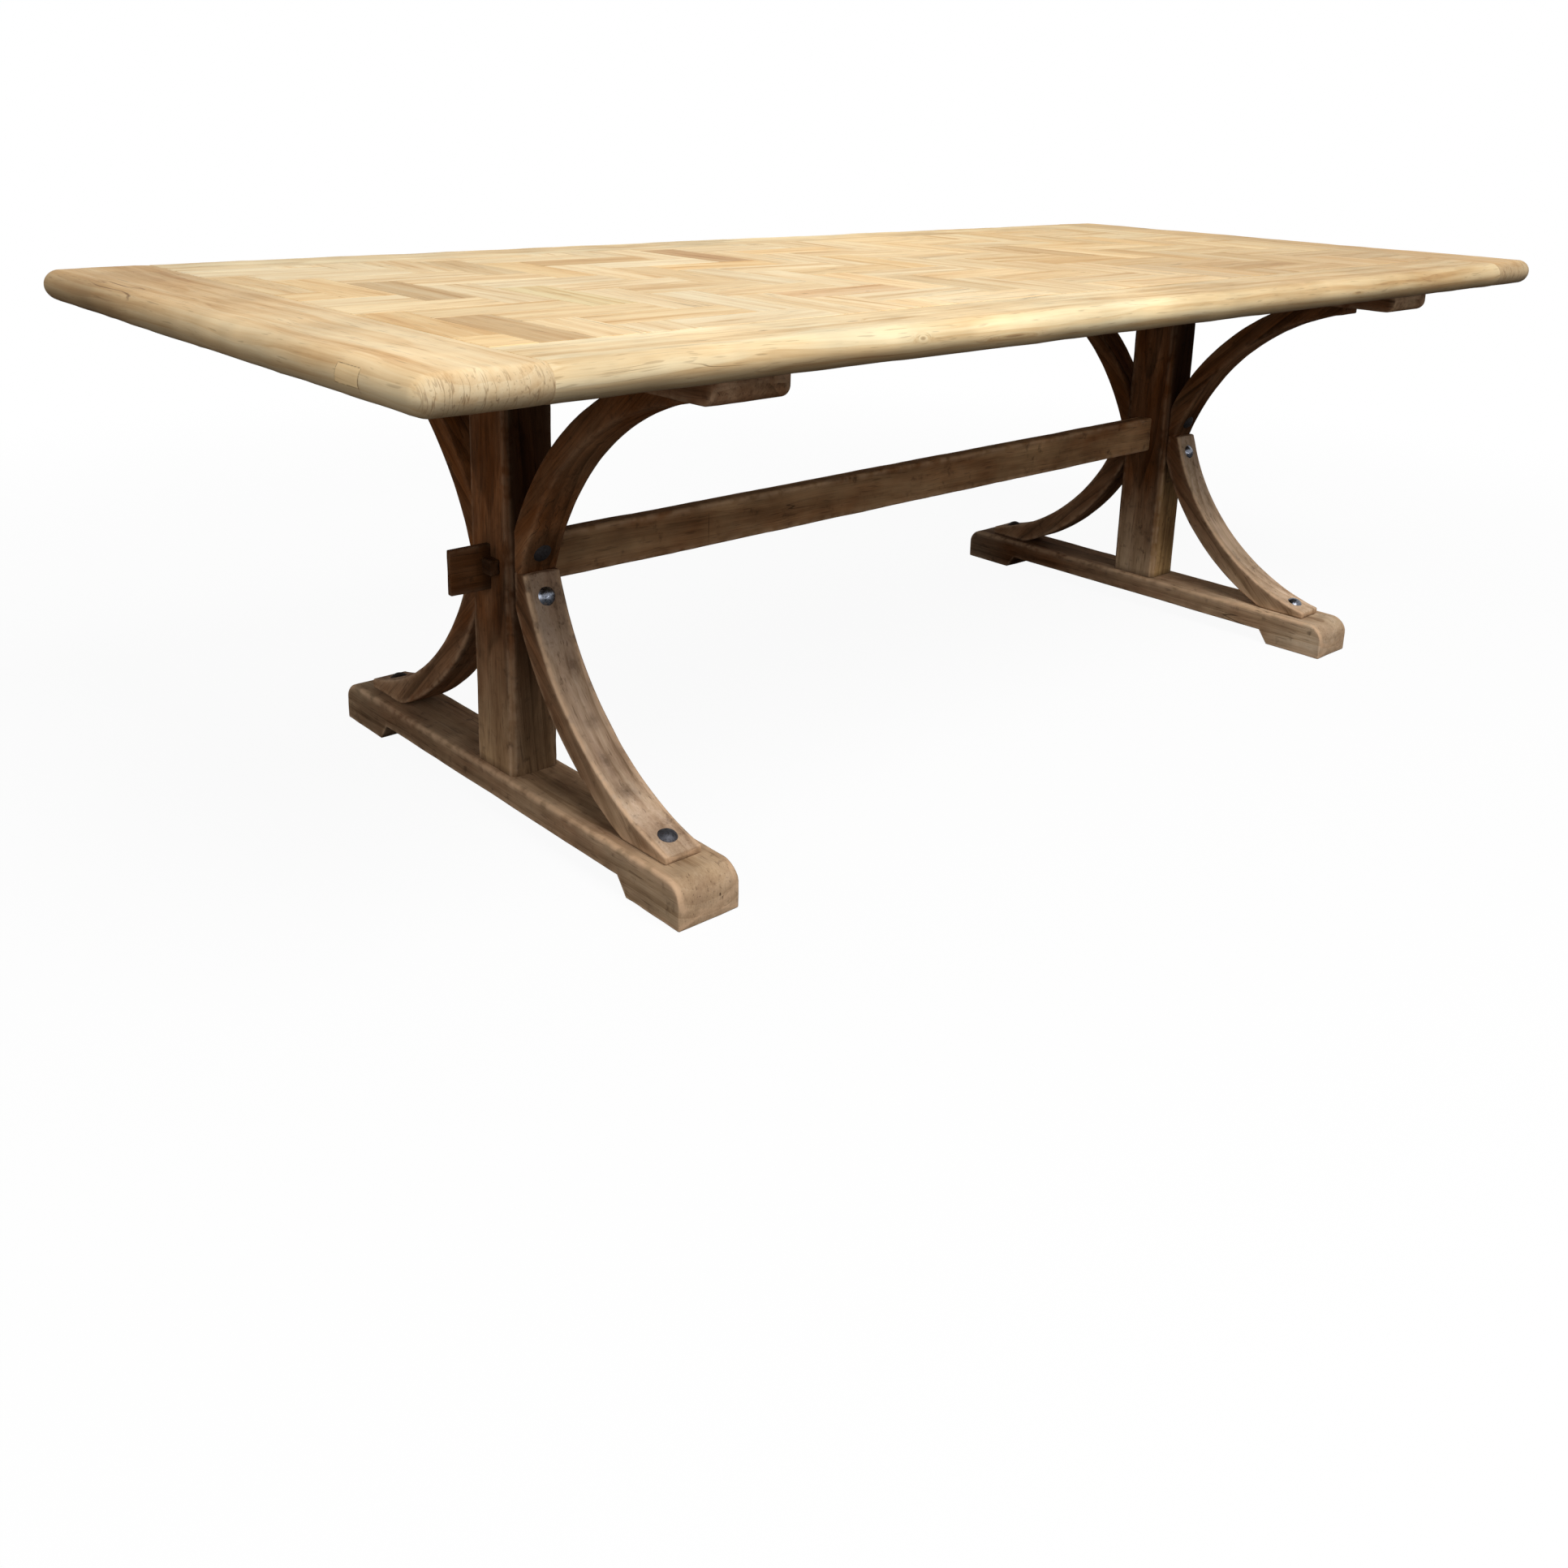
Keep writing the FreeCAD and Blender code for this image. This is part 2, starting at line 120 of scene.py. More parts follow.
# ring per station: straight sides between corners, each corner an exact arc written as a rational
# quadratic whose weight is the sine of half the corner's angle; wear is 1 on arcs and fades off them
def roundedRing(corners, radius, steps, sideParts, wearReach=0.006):
    stations = len(corners)
    before = np.roll(corners, 1, axis=1) - corners
    after = np.roll(corners, -1, axis=1) - corners
    before /= np.linalg.norm(before, axis=-1, keepdims=True)
    after /= np.linalg.norm(after, axis=-1, keepdims=True)
    half = np.arccos(np.clip(np.sum(before * after, axis=-1), -1, 1)) / 2
    tangent = (np.asarray(radius) / np.tan(half))[..., None]
    start = corners + before * tangent
    end = corners + after * tangent
    t = np.linspace(0, 1, steps + 1)[None, None, :, None]
    weight = 2 * np.sin(half)[..., None, None] * t * (1 - t)
    arc = (1 - t) ** 2 * start[:, :, None] + weight * corners[:, :, None] + t ** 2 * end[:, :, None]
    arc = arc / ((1 - t) ** 2 + weight + t ** 2)
    share = np.asarray(sideParts)[None, None, :, None]
    following = np.roll(start, -1, axis=1)
    side = end[:, :, None] * (1 - share) + following[:, :, None] * share
    length = np.linalg.norm(following - end, axis=-1)[:, :, None]
    off = length * np.minimum(share[..., 0], 1 - share[..., 0])
    wear = np.concatenate([np.ones(arc.shape[:3]), np.clip(1 - off / wearReach, 0, 1)], axis=2)
    return np.concatenate([arc, side], axis=2).reshape(stations, -1, 2), wear.reshape(stations, -1)


# how far a section draws in near an end: a quarter round of the ease's radius
def easeIn(distance, ease):
    near = np.clip(1 - distance / ease, 0, 1)
    return ease * (1 - np.sqrt(1 - near ** 2))


# stations from 0 to length, closer together inside the eased ends
def easedStations(length, ease, spacing, nearCount=4):
    near = ease * (1 - np.cos(np.linspace(0, np.pi / 2, nearCount)))
    count = max(2, int(round((length - 2 * ease) / spacing)))
    between = np.linspace(ease, length - ease, count + 1)
    return np.concatenate([near[:-1], between, length - near[:-1][::-1]])


# rectangle's corners per station, from low and high along p and q
def rectangle(lowP, highP, lowQ, highQ):
    lowP, highP, lowQ, highQ = np.broadcast_arrays(lowP, highP, lowQ, highQ)
    return np.stack([np.stack([lowP, lowQ], -1), np.stack([highP, lowQ], -1),
                     np.stack([highP, highQ], -1), np.stack([lowP, highQ], -1)], axis=1)


# piece's name from its node's words: the first word as it is, the others with a capital letter
def pieceName(node):
    first, *others = node.split("_")
    return first + "".join(word.capitalize() for word in others)


meshing = dict(weldDigits=6, sharpDegrees=38)


# one object from points and quads: equal points are welded, quads that lose a corner become
# triangles, and the faces are turned so that the enclosed volume is positive
def makePiece(name, points, quads, values, finish, stands):
    points = np.asarray(points, float)
    rounded = np.round(points, meshing["weldDigits"])
    _, first, index = np.unique(rounded, axis=0, return_index=True, return_inverse=True)
    points = points[first]
    quads = index.reshape(-1)[quads]
    same = quads == np.roll(quads, -1, axis=1)
    quads = quads[same.sum(axis=1) < 2]
    same = quads == np.roll(quads, -1, axis=1)
    three = same.any(axis=1)
    keep = ~same[three]
    triangles = quads[three][keep].reshape(-1, 3)
    quads = quads[~three]
    a, b, c, d = (points[quads[:, i]] for i in range(4))
    volume = np.sum(a * (np.cross(b, c) + np.cross(c, d)))
    a, b, c = (points[triangles[:, i]] for i in range(3))
    volume += np.sum(a * np.cross(b, c))
    if volume < 0:
        quads = quads[:, ::-1]
        triangles = triangles[:, ::-1]
    mesh = bpy.data.meshes.new(name)
    mesh.from_pydata(points.tolist(), [], quads.tolist() + triangles.tolist())
    kinds = {1: ("FLOAT", "value"), 3: ("FLOAT_VECTOR", "vector")}
    for key, value in values.items():
        value = np.asarray(value, np.float32)[first]
        kind, field = kinds[1 if value.ndim == 1 else 3]
        mesh.attributes.new(key, kind, "POINT").data.foreach_set(field, value.ravel())
    mesh.polygons.foreach_set("use_smooth", np.ones(len(mesh.polygons), bool))
    mesh.set_sharp_from_angle(angle=math.radians(meshing["sharpDegrees"]))
    mesh.update()
    piece = bpy.data.objects.new(name, mesh)
    bpy.context.scene.collection.objects.link(piece)
    piece.data.materials.append(finish)
    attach(piece, "root")
    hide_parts(*stands)
    return piece


# linear colour of three display values from 0 to 255: the display curve undone, straight near black
def tone(red, green, blue):
    shares = np.array([red, green, blue]) / 255
    linear = np.where(shares <= 0.04045, shares / 12.92, ((shares + 0.055) / 1.055) ** 2.4)
    return (*linear.tolist(), 1.0)


# a socket takes a link from another socket, or a plain value
def feed(tree, socket, value):
    if isinstance(value, bpy.types.NodeSocket):
        tree.links.new(value, socket)
    else:
        socket.default_value = value


# shader node with its settings, its inputs fed by name or number
def addNode(tree, kind, sockets=None, **settings):
    made = tree.nodes.new("ShaderNode" + kind)
    for key, value in settings.items():
        setattr(made, key, value)
    for key, value in (sockets or {}).items():
        feed(tree, made.inputs[key], value)
    return made


# sum, product or another calculation of two shader numbers, held between 0 and 1 where asked
def calc(tree, operation, a, b=0.0, clamp=False):
    return addNode(tree, "Math", {0: a, 1: b}, operation=operation, use_clamp=clamp).outputs[0]


# product of two shader numbers
def times(tree, a, b):
    return calc(tree, "MULTIPLY", a, b)


# calculation of two shader vectors: a number for a length or a dot product, a vector otherwise
def vecCalc(tree, operation, a, b=(0, 0, 0)):
    made = addNode(tree, "VectorMath", {0: a, 1: b}, operation=operation)
    return made.outputs["Value" if operation in ("LENGTH", "DOT_PRODUCT") else "Vector"]


# mix of two colours by a factor
def blend(tree, factor, a, b, mode="MIX"):
    return addNode(tree, "Mix", {0: factor, 6: a, 7: b}, data_type="RGBA", blend_type=mode).outputs[2]


# noise of a place whose three axes are scaled first, which draws the noise out along the smallest scale
def noise(tree, place, scale, detail=2.0, roughness=0.5, output="Fac"):
    scaled = vecCalc(tree, "MULTIPLY", place, scale)
    return addNode(tree, "TexNoise", {"Vector": scaled, "Scale": 1.0, "Detail": detail,
                                      "Roughness": roughness}).outputs[output]


# a noise's height above or below its middle, times an amount
def swing(tree, value, amount):
    return times(tree, calc(tree, "SUBTRACT", value, 0.5), amount)


# smooth step between two limits
def step(tree, value, low, high):
    return addNode(tree, "MapRange", {"Value": value, "From Min": low, "From Max": high},
                   interpolation_type="SMOOTHSTEP").outputs[0]


# thin line where a noise crosses its middle: 1 there, falling in a smooth step to 0 at the width
def midLine(tree, value, width):
    off = calc(tree, "ABSOLUTE", calc(tree, "SUBTRACT", value, 0.5))
    return calc(tree, "SUBTRACT", 1.0, step(tree, off, 0.0, width))


# colour looked up between stops
def ramp(tree, factor, stops):
    made = addNode(tree, "ValToRGB", {"Fac": factor})
    line = made.color_ramp
    while len(line.elements) < len(stops):
        line.elements.new(0.5)
    for element, (place, colour) in zip(line.elements, stops):
        element.position = place
        element.color = colour
    return made.outputs["Color"]


# opaque colour with one value in all three channels
def grey(value):
    return (value, value, value, 1.0)


# a mesh's own value at each point
def attribute(tree, name, output="Fac"):
    return addNode(tree, "Attribute", attribute_name=name).outputs[output]


# material with nothing but a shader on its output
def freshTree(name):
    material = bpy.data.materials.new(name)
    material.use_nodes = True
    tree = material.node_tree
    tree.nodes.clear()
    shader = addNode(tree, "BsdfPrincipled")
    output = addNode(tree, "OutputMaterial")
    tree.links.new(shader.outputs["BSDF"], output.inputs["Surface"])
    return material, tree, shader


# relief of a surface from a height, with the look's strength and distance
def addBump(tree, shader, height, look):
    bump = addNode(tree, "Bump", {"Height": height, "Strength": look["bump"],
                                  "Distance": look["bumpDistance"]})
    tree.links.new(bump.outputs["Normal"], shader.inputs["Normal"])


# closeness to a spot: e to the minus square of the distance measured in the spot's own sizes
def nearSpot(tree, place, middle, size):
    away = vecCalc(tree, "DIVIDE", vecCalc(tree, "SUBTRACT", place, middle), size)
    return calc(tree, "EXPONENT", times(tree, vecCalc(tree, "DOT_PRODUCT", away, away), -1.0))


# grain bent by slow noise and pushed aside round each knot, and how dark each place is as a knot
def bentGrain(tree, place, grain, look):
    slow = noise(tree, grain, look["bendScale"], output="Color")
    slow = vecCalc(tree, "SUBTRACT", slow, (0.5, 0.5, 0.5))
    bent = vecCalc(tree, "ADD", grain, vecCalc(tree, "MULTIPLY", slow, (0, look["bend"], look["bend"])))
    knotDark = None
    for middle, size, lift in look["knots"]:
        near = nearSpot(tree, place, middle, size)
        push = addNode(tree, "CombineXYZ", {1: times(tree, near, lift)}).outputs[0]
        bent = vecCalc(tree, "ADD", bent, push)
        dark = step(tree, near, *look["knotEdge"])
        knotDark = dark if knotDark is None else calc(tree, "MAXIMUM", knotDark, dark)
    return bent, knotDark


# rings: the distance from the pith, wobbled, in ring widths; the part within a ring is looked up in
# the stops and scaled by a random gain of the ring's own
def ringShade(tree, bent, look):
    radius = vecCalc(tree, "LENGTH", vecCalc(tree, "MULTIPLY", bent, (0, 1, 1)))
    wobble = noise(tree, bent, look["wobbleScale"])
    radius = calc(tree, "ADD", radius, swing(tree, wobble, look["ringWobble"]))
    phase = calc(tree, "DIVIDE", radius, look["ringWidth"])
    gain = addNode(tree, "TexWhiteNoise", {"W": calc(tree, "FLOOR", phase)},
                   noise_dimensions="1D").outputs["Value"]
    shade = ramp(tree, calc(tree, "FRACT", phase), [(at, grey(value)) for at, value in look["ringStops"]])
    return times(tree, shade, calc(tree, "ADD", times(tree, gain, look["ringGain"]), look["ringBase"]))


# dark spots: the peaks of a fine noise, or named stains that fade from their middles through that noise
def spotShare(tree, place, look):
    speck = noise(tree, place, look["speckScale"], 3.0, 0.65)
    stain = 0.0
    for middle, size in look["stains"]:
        near = times(tree, nearSpot(tree, place, middle, size), step(tree, speck, *look["stainEdge"]))
        stain = calc(tree, "ADD", near, stain, clamp=True)
    return calc(tree, "MAXIMUM", step(tree, speck, *look["speckEdge"]), stain)


# wood: the colour's depth adds up rings, broad bands, streaks and fibres, the last three being noise
# drawn out along the grain; over it lie ageing mixed with painted light and shade, the piece's tint, which
# also carries painted light and shade, blotches, spots, checks, pores, knots, rubbed edges, and dirt with
# painted shade; checks are the thin lines where a drawn-out noise crosses its middle
def woodFinish(name, look):
    material, tree, shader = freshTree(name)
    place = addNode(tree, "TexCoord").outputs["Object"]
    grain = attribute(tree, "grain", "Vector") if look["hasGrain"] else place
    bent, knotDark = bentGrain(tree, place, grain, look)
    rings = ringShade(tree, bent, look)
    drawn = {key: noise(tree, bent, look[key + "Scale"], 3.0, 0.6) for key in ("broad", "streak", "fibre")}
    depth = times(tree, rings, look["ringContrast"])
    for key, value in drawn.items():
        depth = calc(tree, "ADD", depth, swing(tree, value, look[key]))
    depth = calc(tree, "ADD", depth, look["depth"], clamp=True)
    colour = ramp(tree, depth, look["fresh"])

    if look["hasGrain"]:
        patches = noise(tree, grain, look["patchScale"], 3.0, 0.6)
        # weathered: the piece's ageing, raised or lowered in places as painted light and shade
        weathered = attribute(tree, "weathered")
        patchy = times(tree, calc(tree, "ADD", weathered, look["patchBase"]), look["patchy"])
        aged = calc(tree, "ADD", weathered, swing(tree, patches, patchy), clamp=True)
        colour = blend(tree, aged, colour, ramp(tree, depth, look["aged"]))
        # the tint holds the piece's tone and also painted light and shade
        colour = blend(tree, 1.0, colour, attribute(tree, "tint", "Color"), "MULTIPLY")
    blotch = noise(tree, place, look["blotchScale"], 3.0, 0.55)
    shade = calc(tree, "ADD", swing(tree, blotch, look["blotch"]), 1.0)
    shade = addNode(tree, "CombineColor", {0: shade, 1: shade, 2: shade}).outputs[0]
    colour = blend(tree, 1.0, colour, shade, "MULTIPLY")
    spots = spotShare(tree, place, look)
    colour = blend(tree, times(tree, spots, look["speck"]), colour, look["checkTone"])

    checkLine = midLine(tree, noise(tree, bent, look["checkScale"], 1.0), look["checkWidth"])
    checkMask = step(tree, noise(tree, grain, look["checkMaskScale"]), *look["checkMaskEdge"])
    check = times(tree, times(tree, checkLine, checkMask), look["check"])
    if look["hasGrain"]:
        ray = midLine(tree, noise(tree, grain, look["rayScale"]), look["rayWidth"])
        endCut = attribute(tree, "endGrain")
        colour = blend(tree, times(tree, endCut, look["endShare"]), colour, look["endTone"])
        check = calc(tree, "MAXIMUM", check, times(tree, times(tree, ray, endCut), look["rays"]))
    pore = step(tree, noise(tree, bent, look["poreScale"], 1.0), *look["poreEdge"])
    pore = times(tree, pore, look["pore"])
    colour = blend(tree, calc(tree, "MAXIMUM", check, pore), colour, look["checkTone"])
    if knotDark is not None:
        colour = blend(tree, times(tree, knotDark, look["knot"]), colour, look["knotTone"])
    if look["hasGrain"]:
        rub = step(tree, noise(tree, place, look["rubScale"]), *look["rubEdge"])
        rub = times(tree, attribute(tree, "wear"), rub)
        rub = times(tree, rub, calc(tree, "ADD", times(tree, aged, look["rubAged"]), look["rubFresh"]))
        colour = blend(tree, times(tree, rub, look["wear"]), colour, look["wearTone"])
        # grime: dark seams and stains, and painted shade at joints, round the tenons, on shaded faces and
        # on the keys
        colour = blend(tree, attribute(tree, "grime"), colour, look["shadeAndDirtTone"])
    tree.links.new(colour, shader.inputs["Base Color"])

    height = times(tree, rings, look["ringHeight"])
    height = calc(tree, "ADD", height, times(tree, drawn["fibre"], look["fibreHeight"]))
    height = calc(tree, "SUBTRACT", height, times(tree, check, look["checkDepth"]))
    addBump(tree, shader, height, look)
    rough = calc(tree, "ADD", times(tree, drawn["streak"], look["roughStreak"]), look["rough"], clamp=True)
    tree.links.new(rough, shader.inputs["Roughness"])
    shader.inputs["Specular IOR Level"].default_value = look["gloss"]
    return material


# dark steel: a mottle looked up from dark through bare to rusty; a dark, dull cover darkens it and dulls
# its shine, painted shade on the bolts that sit in shade along with a duller skin; mottle and grit together
# make the hammered skin
def steelFinish(name, look):
    material, tree, shader = freshTree(name)
    place = addNode(tree, "TexCoord").outputs["Object"]
    mottle = noise(tree, place, look["mottleScale"], 4.0, 0.6)
    grit = noise(tree, place, look["gritScale"])
    colour = ramp(tree, mottle, look["stops"])
    dull = attribute(tree, "grime")
    colour = blend(tree, dull, colour, look["soot"])
    tree.links.new(colour, shader.inputs["Base Color"])
    shader.inputs["Metallic"].default_value = 1.0
    rough = calc(tree, "ADD", times(tree, mottle, look["roughMottle"]), look["rough"], clamp=True)
    rough = calc(tree, "MAXIMUM", rough, times(tree, dull, look["roughShaded"]))
    tree.links.new(rough, shader.inputs["Roughness"])
    height = calc(tree, "ADD", mottle, times(tree, grit, look["gritHeight"]))
    addBump(tree, shader, height, look)
    return material


# what all the woods share
woodLook = dict(
    hasGrain=True, knots=[], stains=[], knotEdge=(0.72, 0.97), wobbleScale=(4, 38, 38),
    ringStops=((0.0, 0.12), (0.45, 0.2), (0.82, 0.8), (0.95, 1.0), (1.0, 0.12)), ringGain=0.7, ringBase=0.3,
    fibreScale=(7, 420, 420), streakScale=(2.2, 75, 75), patchScale=(7, 24, 24), patchBase=0.3,
    speckScale=(48, 48, 48), speckEdge=(0.56, 0.8), stainEdge=(0.2, 0.65), checkScale=(2.4, 62, 62),
    checkMaskScale=(3.1, 13, 13), checkMaskEdge=(0.55, 0.68), rayScale=(0, 130, 18), rayWidth=0.03,
    endShare=0.35, poreScale=(24, 300, 300), poreEdge=(0.62, 0.74), rubScale=(55, 55, 55),
    rubEdge=(0.3, 0.6), rubAged=0.8, rubFresh=0.2, ringHeight=-0.25, fibreHeight=0.5, checkDepth=1.6,
    bumpDistance=0.0012, roughStreak=0.22)

topLook = dict(
    woodLook, bendScale=(2.2, 7, 7), bend=0.04, ringWobble=0.008, ringWidth=0.015, ringContrast=0.3,
    broadScale=(2.0, 15, 15), broad=1.5, streak=0.85, fibre=0.4, depth=0.2,
    fresh=[(0.0, tone(244, 222, 180)), (0.35, tone(233, 203, 156)), (0.65, tone(212, 174, 124)),
           (1.0, tone(164, 120, 76))],
    aged=[(0.0, tone(222, 192, 148)), (1.0, tone(150, 114, 76))],
    patchy=1.5, blotchScale=(6, 6, 6), blotch=0.75, speck=0.0, checkWidth=0.02, check=0.8,
    checkTone=tone(112, 80, 48), endTone=tone(196, 172, 138), knotTone=tone(126, 90, 58), knot=0.5,
    wear=0.25, wearTone=tone(244, 224, 186), shadeAndDirtTone=tone(74, 52, 34), bump=0.35, rays=0.5, pore=0.3,
    rough=0.52, gloss=0.15)
baseLook = dict(
    woodLook, bendScale=(2.0, 7, 7), bend=0.03, ringWobble=0.005, ringWidth=0.017, ringContrast=0.42,
    broadScale=(2.4, 20, 20), broad=0.9, streak=0.8, fibre=0.75, depth=0.265,
    fresh=[(0.0, tone(132, 82, 45)), (0.35, tone(106, 63, 33)), (0.7, tone(75, 43, 22)),
           (1.0, tone(42, 23, 12))],
    aged=[(0.0, tone(206, 179, 148)), (0.35, tone(190, 161, 128)), (0.7, tone(164, 134, 102)),
          (1.0, tone(118, 92, 66))],
    patchy=1.3, blotchScale=(14, 14, 14), blotch=0.85, speck=0.6, checkWidth=0.014, check=0.7,
    checkTone=tone(52, 34, 22), endTone=tone(190, 158, 128), knotTone=tone(34, 20, 12), knot=0.8,
    wear=0.8, wearTone=tone(214, 178, 144), shadeAndDirtTone=tone(16, 10, 6), bump=0.5, rays=0.15, pore=0.4,
    rough=0.66, gloss=0.02)

# knots and cracks as middle, size and push on the grain; stains as middle and size
topKnots = [((-0.555, -0.545, 0.748), (0.011, 0.03, 0.005), 0.03),
            ((-0.38, -0.55, 0.738), (0.05, 0.03, 0.004), 0.03),
            ((-0.61, -0.482, 0.765), (0.022, 0.007, 0.02), 0.02),
            ((0.53, -0.548, 0.742), (0.02, 0.03, 0.003), 0.03),
            ((-1.2145, -0.545, 0.756), (0.0014, 0.016, 0.016), 0.0),
            ((-1.238, -0.4335, 0.742), (0.02, 0.0014, 0.03), 0.0)]
blockKnots = [((-0.46, -0.235, 0.765), (0.014, 0.007, 0.01), 0.012),
              ((-0.36, -0.26, 0.765), (0.01, 0.006, 0.01), 0.01)]
postKnots = [((-0.84, 0.02, 0.664), (0.03, 0.012, 0.02), 0.02),
             ((-0.84, 0.012, 0.618), (0.03, 0.011, 0.012), 0.025),
             ((-0.84, -0.004, 0.606), (0.03, 0.006, 0.01), 0.01)]
footCrack = [((-0.7825, -0.453, 0.0315), (0.003, 0.02, 0.006), 0.0),
             ((-0.7785, -0.453, 0.025), (0.003, 0.02, 0.006), 0.0)]
stretcherSeam = [((-0.4475, -0.014, 0.371), (0.0014, 0.01, 0.06), 0.0)]
braceStains = [((-0.796, -0.1884, 0.1885), (0.012, 0.012, 0.01)),
               ((-0.8055, -0.2789, 0.1216), (0.015, 0.02, 0.014)),
               ((-0.808, -0.235, 0.15), (0.008, 0.02, 0.014)),
               ((-0.79, -0.13, 0.25), (0.012, 0.02, 0.02))]

parquetLook = dict(topLook, knots=blockKnots, bend=0.02, ringWidth=0.009, blotch=0.16, check=0.5,
                   ringContrast=0.24, broadScale=(3.2, 30, 30), broad=1.55, depth=0.17,
                   fresh=topLook["fresh"][:3] + [(1.0, tone(158, 110, 66))])
trestleLook = dict(baseLook, knots=postKnots + footCrack + stretcherSeam, stains=braceStains)
coreLook = dict(topLook, hasGrain=False, bendScale=(1.2, 4, 4), ringWidth=0.02, blotch=0.3, depth=0.4)
steelLook = dict(stops=[(0.3, tone(60, 63, 70)), (0.55, tone(128, 133, 144)), (0.8, tone(88, 76, 68))],
                 soot=tone(40, 33, 28), mottleScale=(260, 260, 260), gritScale=(1500, 1500, 1500),
                 gritHeight=0.3, rough=0.12, roughMottle=0.3, roughShaded=0.85, bump=0.35,
                 bumpDistance=0.0006)

borderWood = woodFinish("borderWood", dict(topLook, knots=topKnots))
parquetWood = woodFinish("parquetWood", parquetLook)
trestleWood = woodFinish("trestleWood", trestleLook)
keyWood = woodFinish("keyWood", dict(baseLook, depth=0.5))
coreWood = woodFinish("coreWood", coreLook)
darkSteel = steelFinish("darkSteel", steelLook)
print("finishes made")


# plain values of a piece that its own code then changes
def plainValues(grain):
    count = len(grain)
    return {"grain": grain, "tint": np.ones((count, 3)), "weathered": np.zeros(count),
            "wear": np.zeros(count), "grime": np.zeros(count), "endGrain": np.zeros(count)}


borderBoard = dict(cornerRadius=0.024, noseSteps=9, spacing=0.02, seamEase=0.0006, waver=0.0006,
                   waverSize=0.11, dent=0.0005, dentSize=0.028, looseOver=0.02, looseEnd=0.03)
noseRadius = (tableTop - topUnder) / 2
topMiddle = (tableTop + topUnder) / 2


# distances from a round edge: the nose's own quarter circle, then even steps to the far side
def noseSpread(width, steps, spacing):
    near = noseRadius * (1 - np.cos(np.linspace(0, np.pi / 2, steps + 1)))
    count = max(2, int(round((width - noseRadius) / spacing)))
    return np.concatenate([near, np.linspace(noseRadius, width, count + 1)[1:]])


# half height of the plank at a distance inside its outline: a half round, then level
def noseHeight(distance):
    near = np.clip(1 - distance / noseRadius, 0, 1)
    return noseRadius * np.sqrt(1 - near ** 2)


# distance inside a rectangle with rounded corners
def insideOutline(x, y, radius):
    offX = np.abs(x) - (halfLength - radius)
    offY = np.abs(y) - (halfWidth - radius)
    outside = np.hypot(np.maximum(offX, 0), np.maximum(offY, 0))
    return radius - outside - np.minimum(np.maximum(offX, offY), 0)


underEdge = dict(slope=0.2, bandFrom=0.42, bandTo=0.7, line=0.6, lineFrom=0.8, dark=(0.4, 0.43, 0.45))


# painted shade under the round edge: a band that eases in below the middle and a darker line at the very
# bottom
def underShade(points, share):
    u = underEdge
    depth = grow(points[:, 2], tableTop, tableTop - 2 * noseRadius)
    band = grow(depth, u["bandFrom"], u["bandTo"])
    below = u["slope"] * depth + band * band * (3 - 2 * band) + u["line"] * grow(depth, u["lineFrom"], 1)
    return 1 - (share * below)[:, None] * u["dark"]


farBrown = dict(start=-0.2, end=0.6, dark=(0.03, 0.07, 0.14))
frontShade = dict(start=-0.05, end=0.35, frontEnd=-0.3, dark=(0.2, 0.24, 0.26))


# the wood's browner right end: a share growing evenly along the table; and painted shade, a little browner,
# that also grows towards the front right; both as multipliers
def farShade(x, y):
    f = frontShade
    far = grow(x, farBrown["start"], farBrown["end"])[..., None]
    front = (grow(x, f["start"], f["end"]) * grow(y, 0, f["frontEnd"]))[..., None]
    return (1 - far * farBrown["dark"]) * (1 - front * f["dark"])


# grain of a border board: along it, across from its pith with a slight tilt, and up from its pith
def boardGrain(along, across, height, sign, look):
    pithAcross, pithUp = look["pith"]
    return np.stack([along + look["grainStart"] * sign, across - sign * pithAcross + look["tilt"] * along,
                     height - topMiddle - pithUp], axis=-1)


# wavering and dents of a border board, eased off to nothing at its seams
def wornBoard(points, loose, seed):
    b = borderBoard
    moved = uneven(uneven(points, b["waver"], b["waverSize"], seed), b["dent"], b["dentSize"], seed + 6)
    return points + (moved - points) * loose[:, None]


endLook = dict(grainStart=3.1, pith=(1.17, 0.14), tilt=0.02, endFrom=0.7, endTo=0.1,
               brown=(0.2, 0.27, 0.34), brownMiddle=0.6, brownToBack=0.55,
               brownShare=dict(left=1, right=0.4), worn=(0.03, 0.04, 0.05), under=0.85,
               nose=(0.1, 0.09, 0.08), noseBack=0.3, cut=(0.12, 0.09, 0.05), seed=11)


